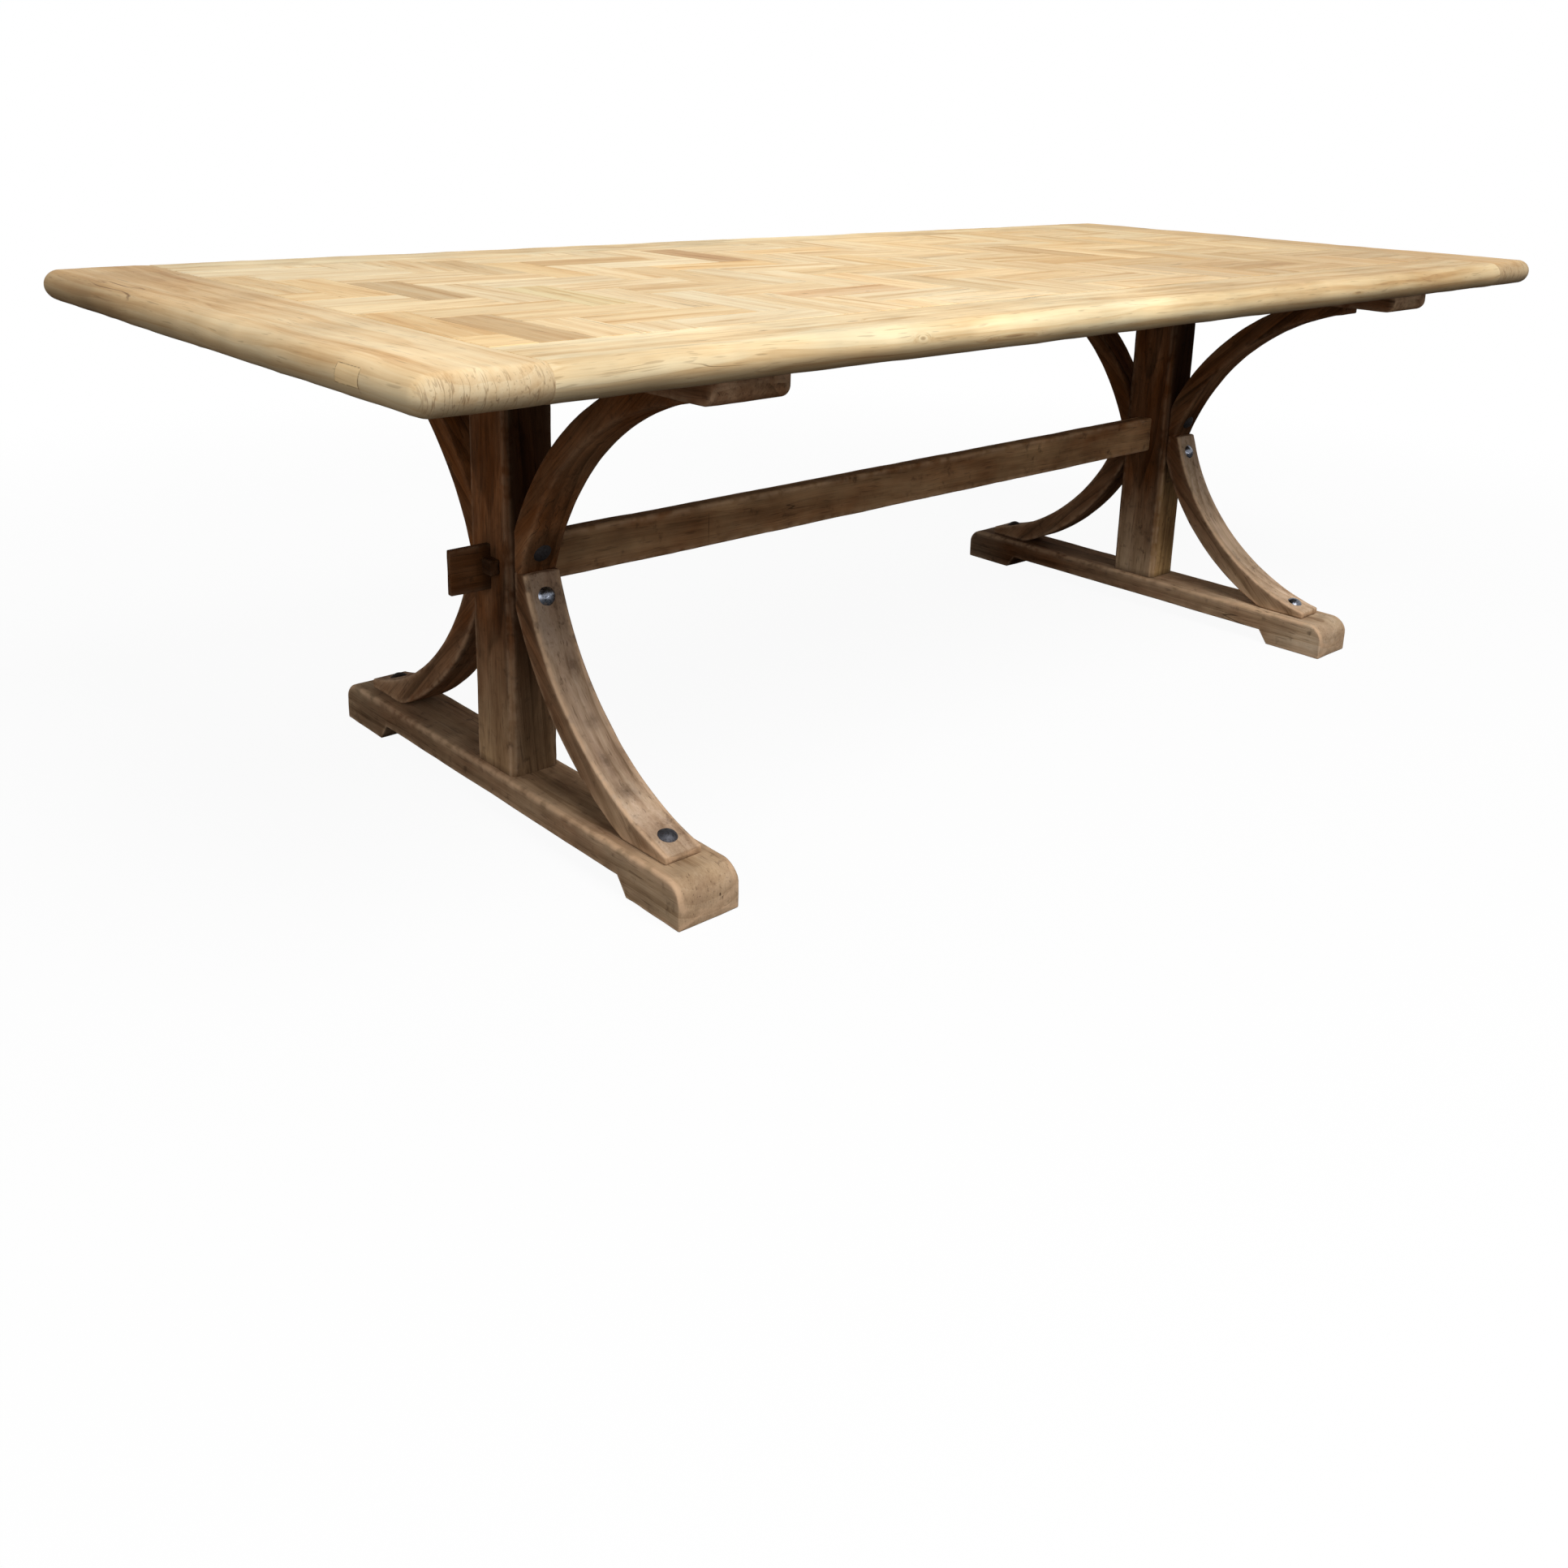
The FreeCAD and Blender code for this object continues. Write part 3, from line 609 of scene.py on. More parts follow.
# end board: rows across the table; each row runs along the top from the seam to the outline and back below
def endBoard(side, sign):
    b, e = borderBoard, endLook
    radius = b["cornerRadius"]
    spread = noseSpread(halfWidth, b["noseSteps"], b["spacing"])
    y = np.concatenate([-halfWidth + spread, (halfWidth - spread)[::-1][1:]])
    nearCorner = np.clip(np.abs(y) - (halfWidth - radius), 0, radius)
    outer = halfLength - radius + np.sqrt(radius ** 2 - nearCorner ** 2)
    share = noseSpread(halfLength - fieldX, b["noseSteps"], b["spacing"]) / (halfLength - fieldX)
    x = fieldX + (outer - fieldX)[:, None] * (1 - share)[None, ::-1]
    y = np.broadcast_to(y[:, None], x.shape)
    distance = np.clip(insideOutline(x, y, radius), 0, None)
    seam = np.zeros(x.shape)
    seam[:, 0] = b["seamEase"]
    height = np.maximum(noseHeight(distance) - seam, 0)
    top = np.stack([sign * x, y, topMiddle + height], axis=-1)
    below = np.stack([sign * x, y, topMiddle - height], axis=-1)
    rings = np.concatenate([top, below[:, ::-1]], axis=1)
    points = rings.reshape(-1, 3)
    x, y, z = points.T
    values = plainValues(boardGrain(y, x, z, sign, e))
    cut = grow(np.abs(y), halfWidth - e["endFrom"] * noseRadius, halfWidth - e["endTo"] * noseRadius)
    values["endGrain"] = cut
    brown = (e["brownMiddle"] + e["brownToBack"] * y / halfWidth) * e["brownShare"][side]
    tint = 1 - brown[:, None] * e["brown"] - e["worn"]
    tint = tint * underShade(points, e["under"] + (1 - e["under"]) * cut) * farShade(x, y)
    nose = grow(np.abs(x), halfLength - noseRadius, halfLength) * (1 + grow(y, 0, e["noseBack"]))
    values["tint"] = tint * (1 - nose[:, None] * e["nose"]) * (1 - cut[:, None] * e["cut"])
    loose = grow(np.abs(x), fieldX, fieldX + b["looseOver"])
    return makePiece("endBoard" + side.capitalize(), wornBoard(points, loose, e["seed"]),
                     gridFaces(*rings.shape[:2]), values, borderWood, ["end_board_" + side])


sideLook = dict(grainStart=7.7, pith=(0.49, -0.11), tilt=0.012, tint=(0.98, 1.01, 1.03), noseTo=0.4,
                nose=(0.1, 0.13, 0.15), noseStart=-0.9, noseEnd=-0.4, seed=23)


# side board: its section with one round edge carried along the table
def sideBoard(face, sign):
    b, s = borderBoard, sideLook
    away = noseSpread(halfWidth - fieldY, b["noseSteps"], b["spacing"])
    high = noseHeight(away)
    high[-1] -= b["seamEase"]
    y = sign * (halfWidth - away)
    section = np.concatenate([np.stack([y, topMiddle + high], -1),
                              np.stack([y, topMiddle - high], -1)[::-1][:-1]])
    x = easedStations(2 * fieldX, b["seamEase"], b["spacing"]) - fieldX
    draw = 1 - easeIn(fieldX - np.abs(x), b["seamEase"]) / noseRadius
    rings = np.empty((len(x), len(section), 3))
    rings[..., 0] = x[:, None]
    rings[..., 1] = section[None, :, 0]
    rings[..., 2] = topMiddle + (section[None, :, 1] - topMiddle) * draw[:, None]
    points = withCaps(rings)
    x, y, z = points.T
    values = plainValues(boardGrain(x, y, z, sign, s))
    # painted highlight: the outer part of the round edge is made brighter, growing in from near the left
    # end
    nose = grow(np.abs(y), halfWidth - noseRadius, halfWidth - s["noseTo"] * noseRadius)
    nose = nose * grow(x, s["noseStart"], s["noseEnd"])
    values["tint"] = underShade(points, 1.0) * farShade(x, y) * s["tint"] * (1 + nose[:, None] * s["nose"])
    loose = grow(np.abs(y), fieldY, fieldY + b["looseOver"])
    loose = loose * grow(np.abs(x), fieldX, fieldX - b["looseEnd"])
    return makePiece("sideBoard" + face.capitalize(), wornBoard(points, loose, s["seed"]),
                     barFaces(*rings.shape[:2]), values, borderWood, ["side_board_" + face])


for side, sign in sides.items():
    endBoard(side, sign)
for face, sign in faces.items():
    sideBoard(face, sign)
print("border boards made")

# herringbone blocks; darker and odd blocks are named by the column and row in which they start
herringbone = dict(width=0.075, ratio=3, startX=0.062, startY=0.0, joint=0.0004, smallest=0.0016,
                   ease=0.0007, thickness=0.016, rise=0.00012, grainStart=40, pithAcross=0.07,
                   pithDepth=(0.03, 0.16), tilt=0.1, shadeSpread=0.035, warmthSpread=0.016, warmthBlue=1.5,
                   darkShare=0.12, darkTone=(0.93, 0.89, 0.83), seedAlong=41, seedAcross=43)
blockTones = dict(blond=(1.0, 1.0, 1.0), faint=(0.95, 0.91, 0.86), tan=(0.89, 0.83, 0.75),
                  brown=(0.76, 0.67, 0.57), umber=(0.66, 0.55, 0.46), olive=(0.85, 0.85, 0.77),
                  rose=(0.92, 0.82, 0.75), amber=(0.96, 0.87, 0.74))
acrossTones = {(-1, 1): "tan", (0, 0): "brown", (1, 5): "brown", (3, 3): "olive", (4, 8): "tan",
               (7, 5): "tan", (10, 8): "umber", (19, 5): "brown", (21, 3): "tan", (13, 5): "amber",
               (24, 6): "tan", (-1, 7): "tan", (22, 8): "tan", (5, 7): "amber", (10, 2): "faint",
               (3, 9): "faint"}
alongTones = {(5, 4): "faint", (7, 2): "rose", (6, 9): "brown", (8, 7): "amber", (20, 1): "tan",
              (16, 5): "tan", (12, 9): "tan", (17, 4): "tan", (18, 3): "tan", (12, 3): "faint",
              (-3, 0): "amber"}


# blocks of one direction: cells whose column and row add up to a phase start a block, trimmed at the border
def blockBoxes(phase, wideX, wideY):
    h = herringbone
    width = h["width"]
    period = 2 * h["ratio"]
    column, row = np.meshgrid(np.arange(-period, int(2 * fieldX / width) + period),
                              np.arange(-period, int(2 * fieldY / width) + period), indexing="ij")
    chosen = (column + row) % period == phase
    column, row = column[chosen], row[chosen]
    x0 = -fieldX + h["startX"] + column * width
    y0 = -fieldY + h["startY"] + row * width
    low = np.stack([np.maximum(x0, -fieldX), np.maximum(y0, -fieldY)], -1)
    high = np.stack([np.minimum(x0 + wideX, fieldX), np.minimum(y0 + wideY, fieldY)], -1)
    real = np.all(high - low > h["smallest"], axis=1)
    return low[real], high[real], np.stack([column, row], -1)[real]


# tint of each block: its own random shade and warmth, a few darker, times its named tone and the browner
# right end with its painted shade towards the front right
def blockTint(random, count, cell, middle, named):
    h = herringbone
    shade = 1 + random.normal(0, h["shadeSpread"], count)
    warmth = random.normal(0, h["warmthSpread"], count)
    tint = np.stack([shade + warmth, shade, shade - h["warmthBlue"] * warmth], -1)
    darker = random.random(count) < h["darkShare"]
    tint[darker] *= h["darkTone"]
    names = [named.get((int(c), int(r)), "blond") for c, r in cell]
    return tint * np.array([blockTones[n] for n in names]) * farShade(middle[:, 0], middle[:, 1])


# each block: a foot ring, a shoulder ring and a top ring drawn in by the ease, closed by two quads
def blockField(node, phase, along, named, seed):
    h = herringbone
    long = h["ratio"] * h["width"]
    low, high, cell = blockBoxes(phase, long if along else h["width"], h["width"] if along else long)
    count = len(low)
    random = np.random.default_rng(seed)
    low, high = low + h["joint"] / 2, high - h["joint"] / 2
    rise = random.uniform(-h["rise"], h["rise"], count)
    corner = np.array([[0, 0], [1, 0], [1, 1], [0, 1]])
    ring = low[:, None] + (high - low)[:, None] * corner[None]
    foot = np.full(count, tableTop - h["thickness"])
    points = np.empty((count, 3, 4, 3))
    points[:, :2, :, :2] = ring[:, None]
    points[:, 2, :, :2] = ring + h["ease"] * (1 - 2 * corner)[None]
    points[..., 2] = np.stack([foot, tableTop - h["ease"] + rise, tableTop + rise], -1)[:, :, None]
    perBlock = points[0, ..., 0].size
    one = np.concatenate([gridFaces(3, 4), [[3, 2, 1, 0], [8, 9, 10, 11]]])
    quads = (one[None] + perBlock * np.arange(count)[:, None, None]).reshape(-1, 4)
    middle = (low + high) / 2
    local = points[..., :2] - middle[:, None, None]
    if not along:
        local = local[..., ::-1]
    pith = np.stack([random.uniform(0, h["grainStart"], count),
                     random.uniform(-h["pithAcross"], h["pithAcross"], count),
                     random.uniform(*h["pithDepth"], count)], -1)
    tilt = random.uniform(-h["tilt"], h["tilt"], count)
    grain = np.empty(points.shape)
    grain[..., 0] = local[..., 0] + pith[:, 0, None, None]
    grain[..., 1] = local[..., 1] + pith[:, 1, None, None] + tilt[:, None, None] * local[..., 0]
    grain[..., 2] = points[..., 2] - tableTop + pith[:, 2, None, None]
    values = plainValues(grain.reshape(-1, 3))
    values["tint"] = np.repeat(blockTint(random, count, cell, middle, named), perBlock, axis=0)
    return makePiece(pieceName(node), points.reshape(-1, 3), quads, values, parquetWood,
                     [node])


blockField("parquet_along", herringbone["ratio"], True, alongTones, herringbone["seedAlong"])
blockField("parquet_across", 0, False, acrossTones, herringbone["seedAcross"])
print("herringbone made")

edgePatch = dict(proud=0.0003, deep=0.006, seam=0.0014, steps=14, seed=9, seamFrom=0.25, grainStart=20.0,
                 pith=(0.03, 1.3), tint=(0.84, 0.77, 0.68))


# repair block let into the round edge: two layers of the nose's circle, one a little proud and one deep,
# joined by a wall, with a dark broken seam round the outer one
def patchBlock():
    e = edgePatch
    low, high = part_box("edge_patch")
    turn = np.arcsin(np.clip((np.array([low.z, high.z]) - topMiddle) / noseRadius, -1, 1))
    seamTurn = e["seam"] / noseRadius
    inner = np.linspace(turn[0] + seamTurn, turn[1] - seamTurn, e["steps"])
    angle = np.concatenate([[turn[0]], inner, [turn[1]]])
    inner = np.linspace(low.y + e["seam"], high.y - e["seam"], e["steps"])
    y = np.concatenate([[low.y], inner, [high.y]])
    angle, y = np.meshgrid(angle, y, indexing="ij")
    border = np.ones(angle.shape)
    border[1:-1, 1:-1] = 0
    layers = []
    for out in (e["proud"], -e["deep"]):
        reach = noseRadius + out
        layers.append(np.stack([-halfLength + noseRadius - reach * np.cos(angle), y,
                                topMiddle + reach * np.sin(angle)], axis=-1))
    rows, columns = angle.shape
    points = np.concatenate([layer.reshape(-1, 3) for layer in layers])
    sheet = gridFaces(rows, columns, ring=False)
    rim = np.concatenate([np.arange(columns), np.arange(1, rows) * columns + columns - 1,
                          (rows - 1) * columns + np.arange(columns - 2, -1, -1),
                          np.arange(rows - 2, 0, -1) * columns])
    after = np.roll(rim, -1)
    count = rows * columns
    wall = np.stack([rim, rim + count, after + count, after], axis=-1)
    quads = np.concatenate([sheet[:, ::-1], sheet + count, wall])
    grain = np.stack([points[:, 1] + e["grainStart"], points[:, 2] - topMiddle + e["pith"][0],
                      points[:, 0] + e["pith"][1]], axis=-1)
    values = plainValues(grain)
    broken = np.random.default_rng(e["seed"]).uniform(e["seamFrom"], 1.0, count)
    values["grime"] = np.tile(border.ravel() * broken, 2)
    values["tint"] *= e["tint"]
    return makePiece("edgePatch", points, quads, values, borderWood, ["edge_patch"])


patchBlock()
nodes["core_panel"].data.materials.clear()
nodes["core_panel"].data.materials.append(coreWood)
print("top made")

sideParts = (0.02, 0.06, 0.15, 0.32, 0.5, 0.68, 0.85, 0.94, 0.98)
trestle = dict(waver=0.0007, waverSize=0.09, dent=0.0004, dentSize=0.02, spacing=0.012)


# wavering of a trestle piece, its points kept on or above the floor
def worked(points, seed):
    t = trestle
    moved = uneven(uneven(points, t["waver"], t["waverSize"], seed), t["dent"], t["dentSize"], seed + 3)
    moved[..., 2] = np.maximum(moved[..., 2], 0)
    return moved


# a trestle's piece: its rings closed at both ends, worked by hand, in the dark wood
def trestlePiece(node, flat, wear, values, seed):
    makePiece(pieceName(node), worked(flat, seed), barFaces(*wear.shape), values, trestleWood,
              [node])


# points of a beam across the table: a section's first axis lies along x, its second stands upright
def beamPoints(sign, along, ring):
    across = np.broadcast_to(along[:, None], ring.shape[:2])
    return withCaps(np.stack([sign * trestleX + ring[..., 0], across, ring[..., 1]], -1))


# grain of a beam across the table: along it, across from its pith with a slight tilt, and up from its pith
def beamGrain(flat, sign, bar):
    x, y, z = flat.T
    return np.stack([y + bar["grainStart"] * sign, x - sign * trestleX + bar["pith"][0] + bar["tilt"] * y,
                     z - bar["pith"][1]], -1)


# distances from an end at which a quarter round is cut into stations, from a first turn to the full one
def roundStations(radius, firstTurn, count, lastTurn=1.57):
    return radius * (1 - np.cos(np.linspace(firstTurn, lastTurn, count)))


bearerBar = dict(endRadius=0.017, roundFrom=0.2, roundCount=6, ease=0.002, edge=0.003, edgeSteps=3,
                 grainStart=5, pith=(0.03, 0.62), tilt=0.02, weathered=0.12,
                 endWeathered=dict(left=0.15, right=0.4), endStart=0.012, endFull=0.002)


# bearer: a plank's section carried across the table, its lower edge rising in a quarter round at each end
def bearer(side, sign, seed):
    b = bearerBar
    half = bearerHigh.y
    rounds = roundStations(b["endRadius"], b["roundFrom"], b["roundCount"])
    along = np.unique(np.concatenate([easedStations(2 * half, b["ease"], trestle["spacing"]), rounds,
                                      2 * half - rounds])) - half
    distance = np.clip(half - np.abs(along), 0, None)
    shrink = easeIn(distance, b["ease"])
    low = bearerLow.z + easeIn(distance, b["endRadius"])
    wide = (bearerHigh.x - bearerLow.x) / 2 - shrink
    corners = rectangle(-wide, wide, low + shrink, bearerHigh.z - shrink)
    ring, wear = roundedRing(corners, b["edge"], b["edgeSteps"], sideParts)
    flat = beamPoints(sign, along, ring)
    values = plainValues(beamGrain(flat, sign, b))
    values["wear"] = withCaps(wear)
    ends = grow(np.abs(flat[:, 1]), half - b["endStart"], half - b["endFull"])
    values["weathered"] = b["weathered"] + b["endWeathered"][side] * ends
    trestlePiece("bearer_" + side, flat, wear, values, seed)


postBar = dict(chamfer=0.007, edge=0.0015, edgeSteps=2, ease=0.0008, grainStart=9, grainLevel=0.4,
               pith=(-0.004, 0.1), lean=(0.012, -0.06))
postLook = dict(weathered=0.03, pale=0.7, paleHeight=0.23, warm=(0.0, 0.06, 0.16), warmHeight=0.3,
                tenonLevel=0.382, tenonWide=0.022, tenonHigh=0.034, tenonShade=0.8, tenonFrom=1.5,
                tenonTo=0.5, outerFace=0.9, contact=0.6, contactHeight=0.006, sideFrom=0.8,
                highFrom=0.36, highTo=0.5, sideShade=0.52, sideShadeHigh=0.25, band=0.5, bandMiddle=0.8,
                bandWide=0.35, bandFrom=0.1, bandTo=0.22, farPale=0.45, farPaleFrom=0.37,
                farPaleTo=0.27, farTint=(0.22, 0.16, -0.12), farUnshaded=0.95)


# look of a post: pale and warm near the foot; painted shade round the tenon, where it meets the foot, in a
# band along its front below the waist, and on the faces that carry braces; painted light makes the far
# post's front face paler in its lower part
def postValues(values, flat, sign):
    p = postLook
    x, y, z = flat.T
    weathered = p["pale"] * grow(z, footTop + p["paleHeight"], footTop) + p["weathered"]
    # painted shade round the tenon on the post's outer face, where the mortise gaps and the tenon's shadow
    # fall
    near = np.hypot(y / p["tenonWide"], (z - p["tenonLevel"]) / p["tenonHigh"])
    outerFace = np.abs(x) > trestleX + p["outerFace"] * postX
    tenon = p["tenonShade"] * grow(near, p["tenonFrom"], p["tenonTo"]) * outerFace
    braced = grow(np.abs(y), p["sideFrom"] * postY, postY)
    facing = grow(-y, p["sideFrom"] * postY, postY)
    high = grow(z, p["highFrom"], p["highTo"])
    contact = p["contact"] * grow(z, footTop + p["contactHeight"], footTop)
    band = grow(np.abs(-y / postY - p["bandMiddle"]), p["bandWide"], 0)
    band = band * grow(z, p["bandFrom"], p["bandTo"])
    contact = np.maximum(contact, p["band"] * band * (1 - high))
    tint = 1 - grow(z, footTop + p["warmHeight"], footTop)[:, None] * p["warm"]
    # painted light: the far post's front face is paler and yellower low down, with its painted shade taken
    # off there
    if sign > 0:
        pale = facing * grow(z, p["farPaleFrom"], p["farPaleTo"])
        weathered = np.maximum(weathered, p["farPale"] * pale)
        tint = 1 + pale[:, None] * p["farTint"]
        braced = braced * (1 - p["farUnshaded"] * pale)
    values["weathered"] = weathered
    values["tint"] = tint
    braced = braced * (p["sideShade"] + p["sideShadeHigh"] * high)
    values["grime"] = np.maximum(np.maximum(tenon, contact), braced)


# post: an eight-sided section, a rectangle with its corners taken off, carried upwards
def post(side, sign, seed):
    p = postBar
    c = p["chamfer"]
    along = easedStations(bearerUnder - footTop, p["ease"], trestle["spacing"])
    shrink = easeIn(np.minimum(along, along[-1] - along), p["ease"])[:, None, None]
    x, y = postX, postY
    plan = np.array([[-x + c, -y], [x - c, -y], [x, -y + c], [x, y - c], [x - c, y], [-x + c, y],
                     [-x, y - c], [-x, -y + c]])
    corners = plan[None] * (1 - shrink / np.array([x, y]))
    ring, wear = roundedRing(corners, p["edge"], p["edgeSteps"], sideParts)
    height = np.broadcast_to((footTop + along)[:, None], wear.shape)
    flat = withCaps(np.stack([sign * trestleX + ring[..., 0], ring[..., 1], height], -1))
    lift = flat[:, 2] - p["grainLevel"]
    grain = np.stack([flat[:, 2] + p["grainStart"] * sign, flat[:, 1] + p["pith"][0] + p["lean"][0] * lift,
                      sign * flat[:, 0] - trestleX + p["pith"][1] + p["lean"][1] * lift], -1)
    values = plainValues(grain)
    values["wear"] = withCaps(wear)
    postValues(values, flat, sign)
    trestlePiece("post_" + side, flat, wear, values, seed)


footBar = dict(endRadius=0.03, roundFrom=0.15, roundCount=9, ease=0.003, relief=0.026, pad=0.115,
               slope=0.019, bend=0.0015, upperEdge=0.005, lowerEdge=0.002, edgeSteps=4, grainStart=13,
               pith=(0.01, 0.13), tilt=0.02)
footLook = dict(weathered=0.57, upper=0.12, upperFrom=0.05, upperTo=0.064, ends=0.26, endsFrom=0.33,
                endsTo=0.43, inner=0.1, innerFrom=-0.2, innerTo=0.0, backFrom=-0.05, backTo=0.3,
                cutOver=0.012, backShade=dict(left=0.14, right=0.42), light=dict(left=0.95, right=1.12),
                backDark=dict(left=0.12, right=0.45), endTint=dict(left=(0, 0, 0), right=(0.0, 0.06, 0.15)))


# look of a foot: palest on top and at its ends, fresher in the middle; painted shade makes it fresher and
# darker towards the back, and painted light makes the far foot lighter than the near one
def footValues(values, flat, side):
    f = footLook
    half = footHigh.y
    y, z = flat[:, 1], flat[:, 2]
    ends = grow(np.abs(y), f["endsFrom"], f["endsTo"])
    upper = grow(z, f["upperFrom"], f["upperTo"])
    inner = grow(y, f["innerFrom"], f["innerTo"]) * (1 - ends)
    toBack = grow(y, f["backFrom"], f["backTo"])
    pale = f["weathered"] + f["upper"] * upper + f["ends"] * ends - f["inner"] * inner
    values["weathered"] = pale - f["backShade"][side] * toBack
    values["endGrain"] = grow(np.abs(y), half - f["cutOver"], half)
    # painted light and shade: the far foot lighter than the near one, both darker towards the back
    light = f["light"][side] - f["backDark"][side] * toBack
    values["tint"] = light[:, None] + ends[:, None] * f["endTint"][side]


# foot: a beam's section carried across the table; its top falls in a quarter round at each end and its
# underside rises over a slope from each pad to the relief
def foot(side, sign, seed):
    f = footBar
    half = footHigh.y
    pad = half - f["pad"]
    bends = np.array([pad, pad - f["slope"]])
    bends = np.concatenate([bends - f["bend"], bends, bends + f["bend"]])
    rounds = roundStations(f["endRadius"], f["roundFrom"], f["roundCount"])
    even = easedStations(2 * half, f["ease"], trestle["spacing"]) - half
    along = np.unique(np.concatenate([even, bends, -bends, rounds - half, half - rounds]))
    distance = np.clip(half - np.abs(along), 0, None)
    shrink = easeIn(distance, f["ease"])
    high = footTop - easeIn(distance, f["endRadius"])
    low = f["relief"] * np.clip((pad - np.abs(along)) / f["slope"], 0, 1)
    wide = (footHigh.x - footLow.x) / 2 - shrink
    corners = rectangle(-wide, wide, low + shrink, high - shrink)
    edge = np.array([f["lowerEdge"], f["lowerEdge"], f["upperEdge"], f["upperEdge"]])
    ring, wear = roundedRing(corners, edge, f["edgeSteps"], sideParts)
    flat = beamPoints(sign, along, ring)
    values = plainValues(beamGrain(flat, sign, f))
    values["wear"] = withCaps(wear)
    footValues(values, flat, side)
    trestlePiece("foot_" + side, flat, wear, values, seed)


waist = 0.378
braceWidth = 0.060
upperBrace = dict(reach=0.400, nose=0.018, tip=0.016, radius=0.438, thickness=0.037)
lowerBrace = dict(front=dict(reach=0.398, nose=0.0125, tip=0.025, radius=0.426, thickness=0.040),
                  back=dict(reach=0.398, nose=0.016, tip=0.016, radius=0.426, thickness=0.040))
domeBolt = dict(headRadius=0.014, headHeight=0.0075, rim=0.0012, shank=0.005, seatDepth=0.0008,
                endInset=0.034, lowerFromWaist=0.032, upperFromWaist=0.029, footLength=0.055,
                waistLength=0.062, turns=28, rings=9, hammer=0.0005, hammerSize=0.006, hammerFrom=0.0005,
                hammerSeed=77, seedStep=0.37,
                # dark, dull cover per bolt, left front, left back, right front, right back: painted shade
                # on the bolts that sit in shade along with a duller skin; the lower front waist bolts stay
                # bare
                dull=dict(bolts_foot=(0.7, 1.0, 0.25, 1.0), bolts_waist_lower=(0.0, 0.5, 0.0, 0.5),
                          bolts_waist_upper=(0.9, 0.9, 0.9, 0.9)))
braceBar = dict(edge=0.003, edgeSteps=3, ease=0.0018, easeParts=(0, 0.3, 1.0), beamSteps=16, backSteps=40,
                postSteps=16, grainStart=30, pithAcross=0.03, pithDepth=(0.07, 0.13), hollowOver=0.004,
                wear=dict(lower=1.0, upper=0.3))


# centre of a brace's hollow face: the circle of its radius through nose and waist tip, away from the post
def hollowCentre(nose, tip, radius):
    chord = tip - nose
    rise = math.sqrt(radius ** 2 - (np.linalg.norm(chord) / 2) ** 2)
    normal = np.array([-chord[1], chord[0]]) / np.linalg.norm(chord)
    return (nose + tip) / 2 + normal * rise * (1 if normal[0] > 0 else -1)


# ends and centre of a hollow arc: the nose stands off the beam, the tip at the waist stands off the post
def braceArc(shape, beamLevel):
    toward = 1 if beamLevel > waist else -1
    nose = np.array([shape["reach"], beamLevel - toward * shape["nose"]])
    tip = np.array([postY + shape["tip"], waist])
    return nose, tip, hollowCentre(nose, tip, shape["radius"])


# angle of a point seen from a centre, counted from the direction of the post
def turnAbout(centre, point):
    return np.arctan2(point[..., 1] - centre[1], centre[0] - point[..., 0])


# point of a circle at such an angle
def onCircle(centre, radius, turn):
    return centre + radius * np.stack([-np.cos(turn), np.sin(turn)], -1)


# path of a brace: stations pair a point of the hollow arc with one of the back, which follows the beam,
# then a larger circle, then the post; the back's turning is spread evenly over the hollow arc
def bracePath(shape, beamLevel):
    b = braceBar
    nose, tip, centre = braceArc(shape, beamLevel)
    toward = 1 if beamLevel > waist else -1
    back = shape["radius"] + shape["thickness"]
    atPost = np.array([postY, centre[1] + toward * math.sqrt(back ** 2 - (centre[0] - postY) ** 2)])
    atBeam = np.array([centre[0] - math.sqrt(back ** 2 - (beamLevel - centre[1]) ** 2), beamLevel])
    heel = np.array([shape["reach"], beamLevel])
    root = np.array([postY, waist])
    beamShare = np.linspace(0, 1, b["beamSteps"])[:, None]
    postShare = np.linspace(0, 1, b["postSteps"])[:, None]
    turns = np.linspace(turnAbout(centre, atBeam), turnAbout(centre, atPost), b["backSteps"])[1:-1]
    behind = np.concatenate([heel + (atBeam - heel) * beamShare, onCircle(centre, back, turns),
                             atPost + (root - atPost) * postShare])
    turn = turnAbout(centre, behind)
    turn = np.interp(turn * -toward, [turn[0] * -toward, turn[-1] * -toward],
                     [turnAbout(centre, nose), turnAbout(centre, tip)])
    return onCircle(centre, shape["radius"], turn), behind, nose, tip


lowerLook = dict(hollow=0.6, hollowLow=0.35, rest=0.05, restLow=0.58, restPower=1.4,
                 hollowTint=(-0.04, -0.01, 0.11), lowTint=0.3, lowMiddle=0.7, waistTint=(0.05, 0.08, 0.11),
                 backFace=0.45, farHollow=0.15, farTint=0.16, contact=0.45, contactHeight=0.005)
upperLook = dict(weathered=0.05, hollow=0.05, tint=(0.89, 0.86, 0.79), stain=0.55, stainSize=0.03,
                 stainFrom=1.6, stainTo=0.6)


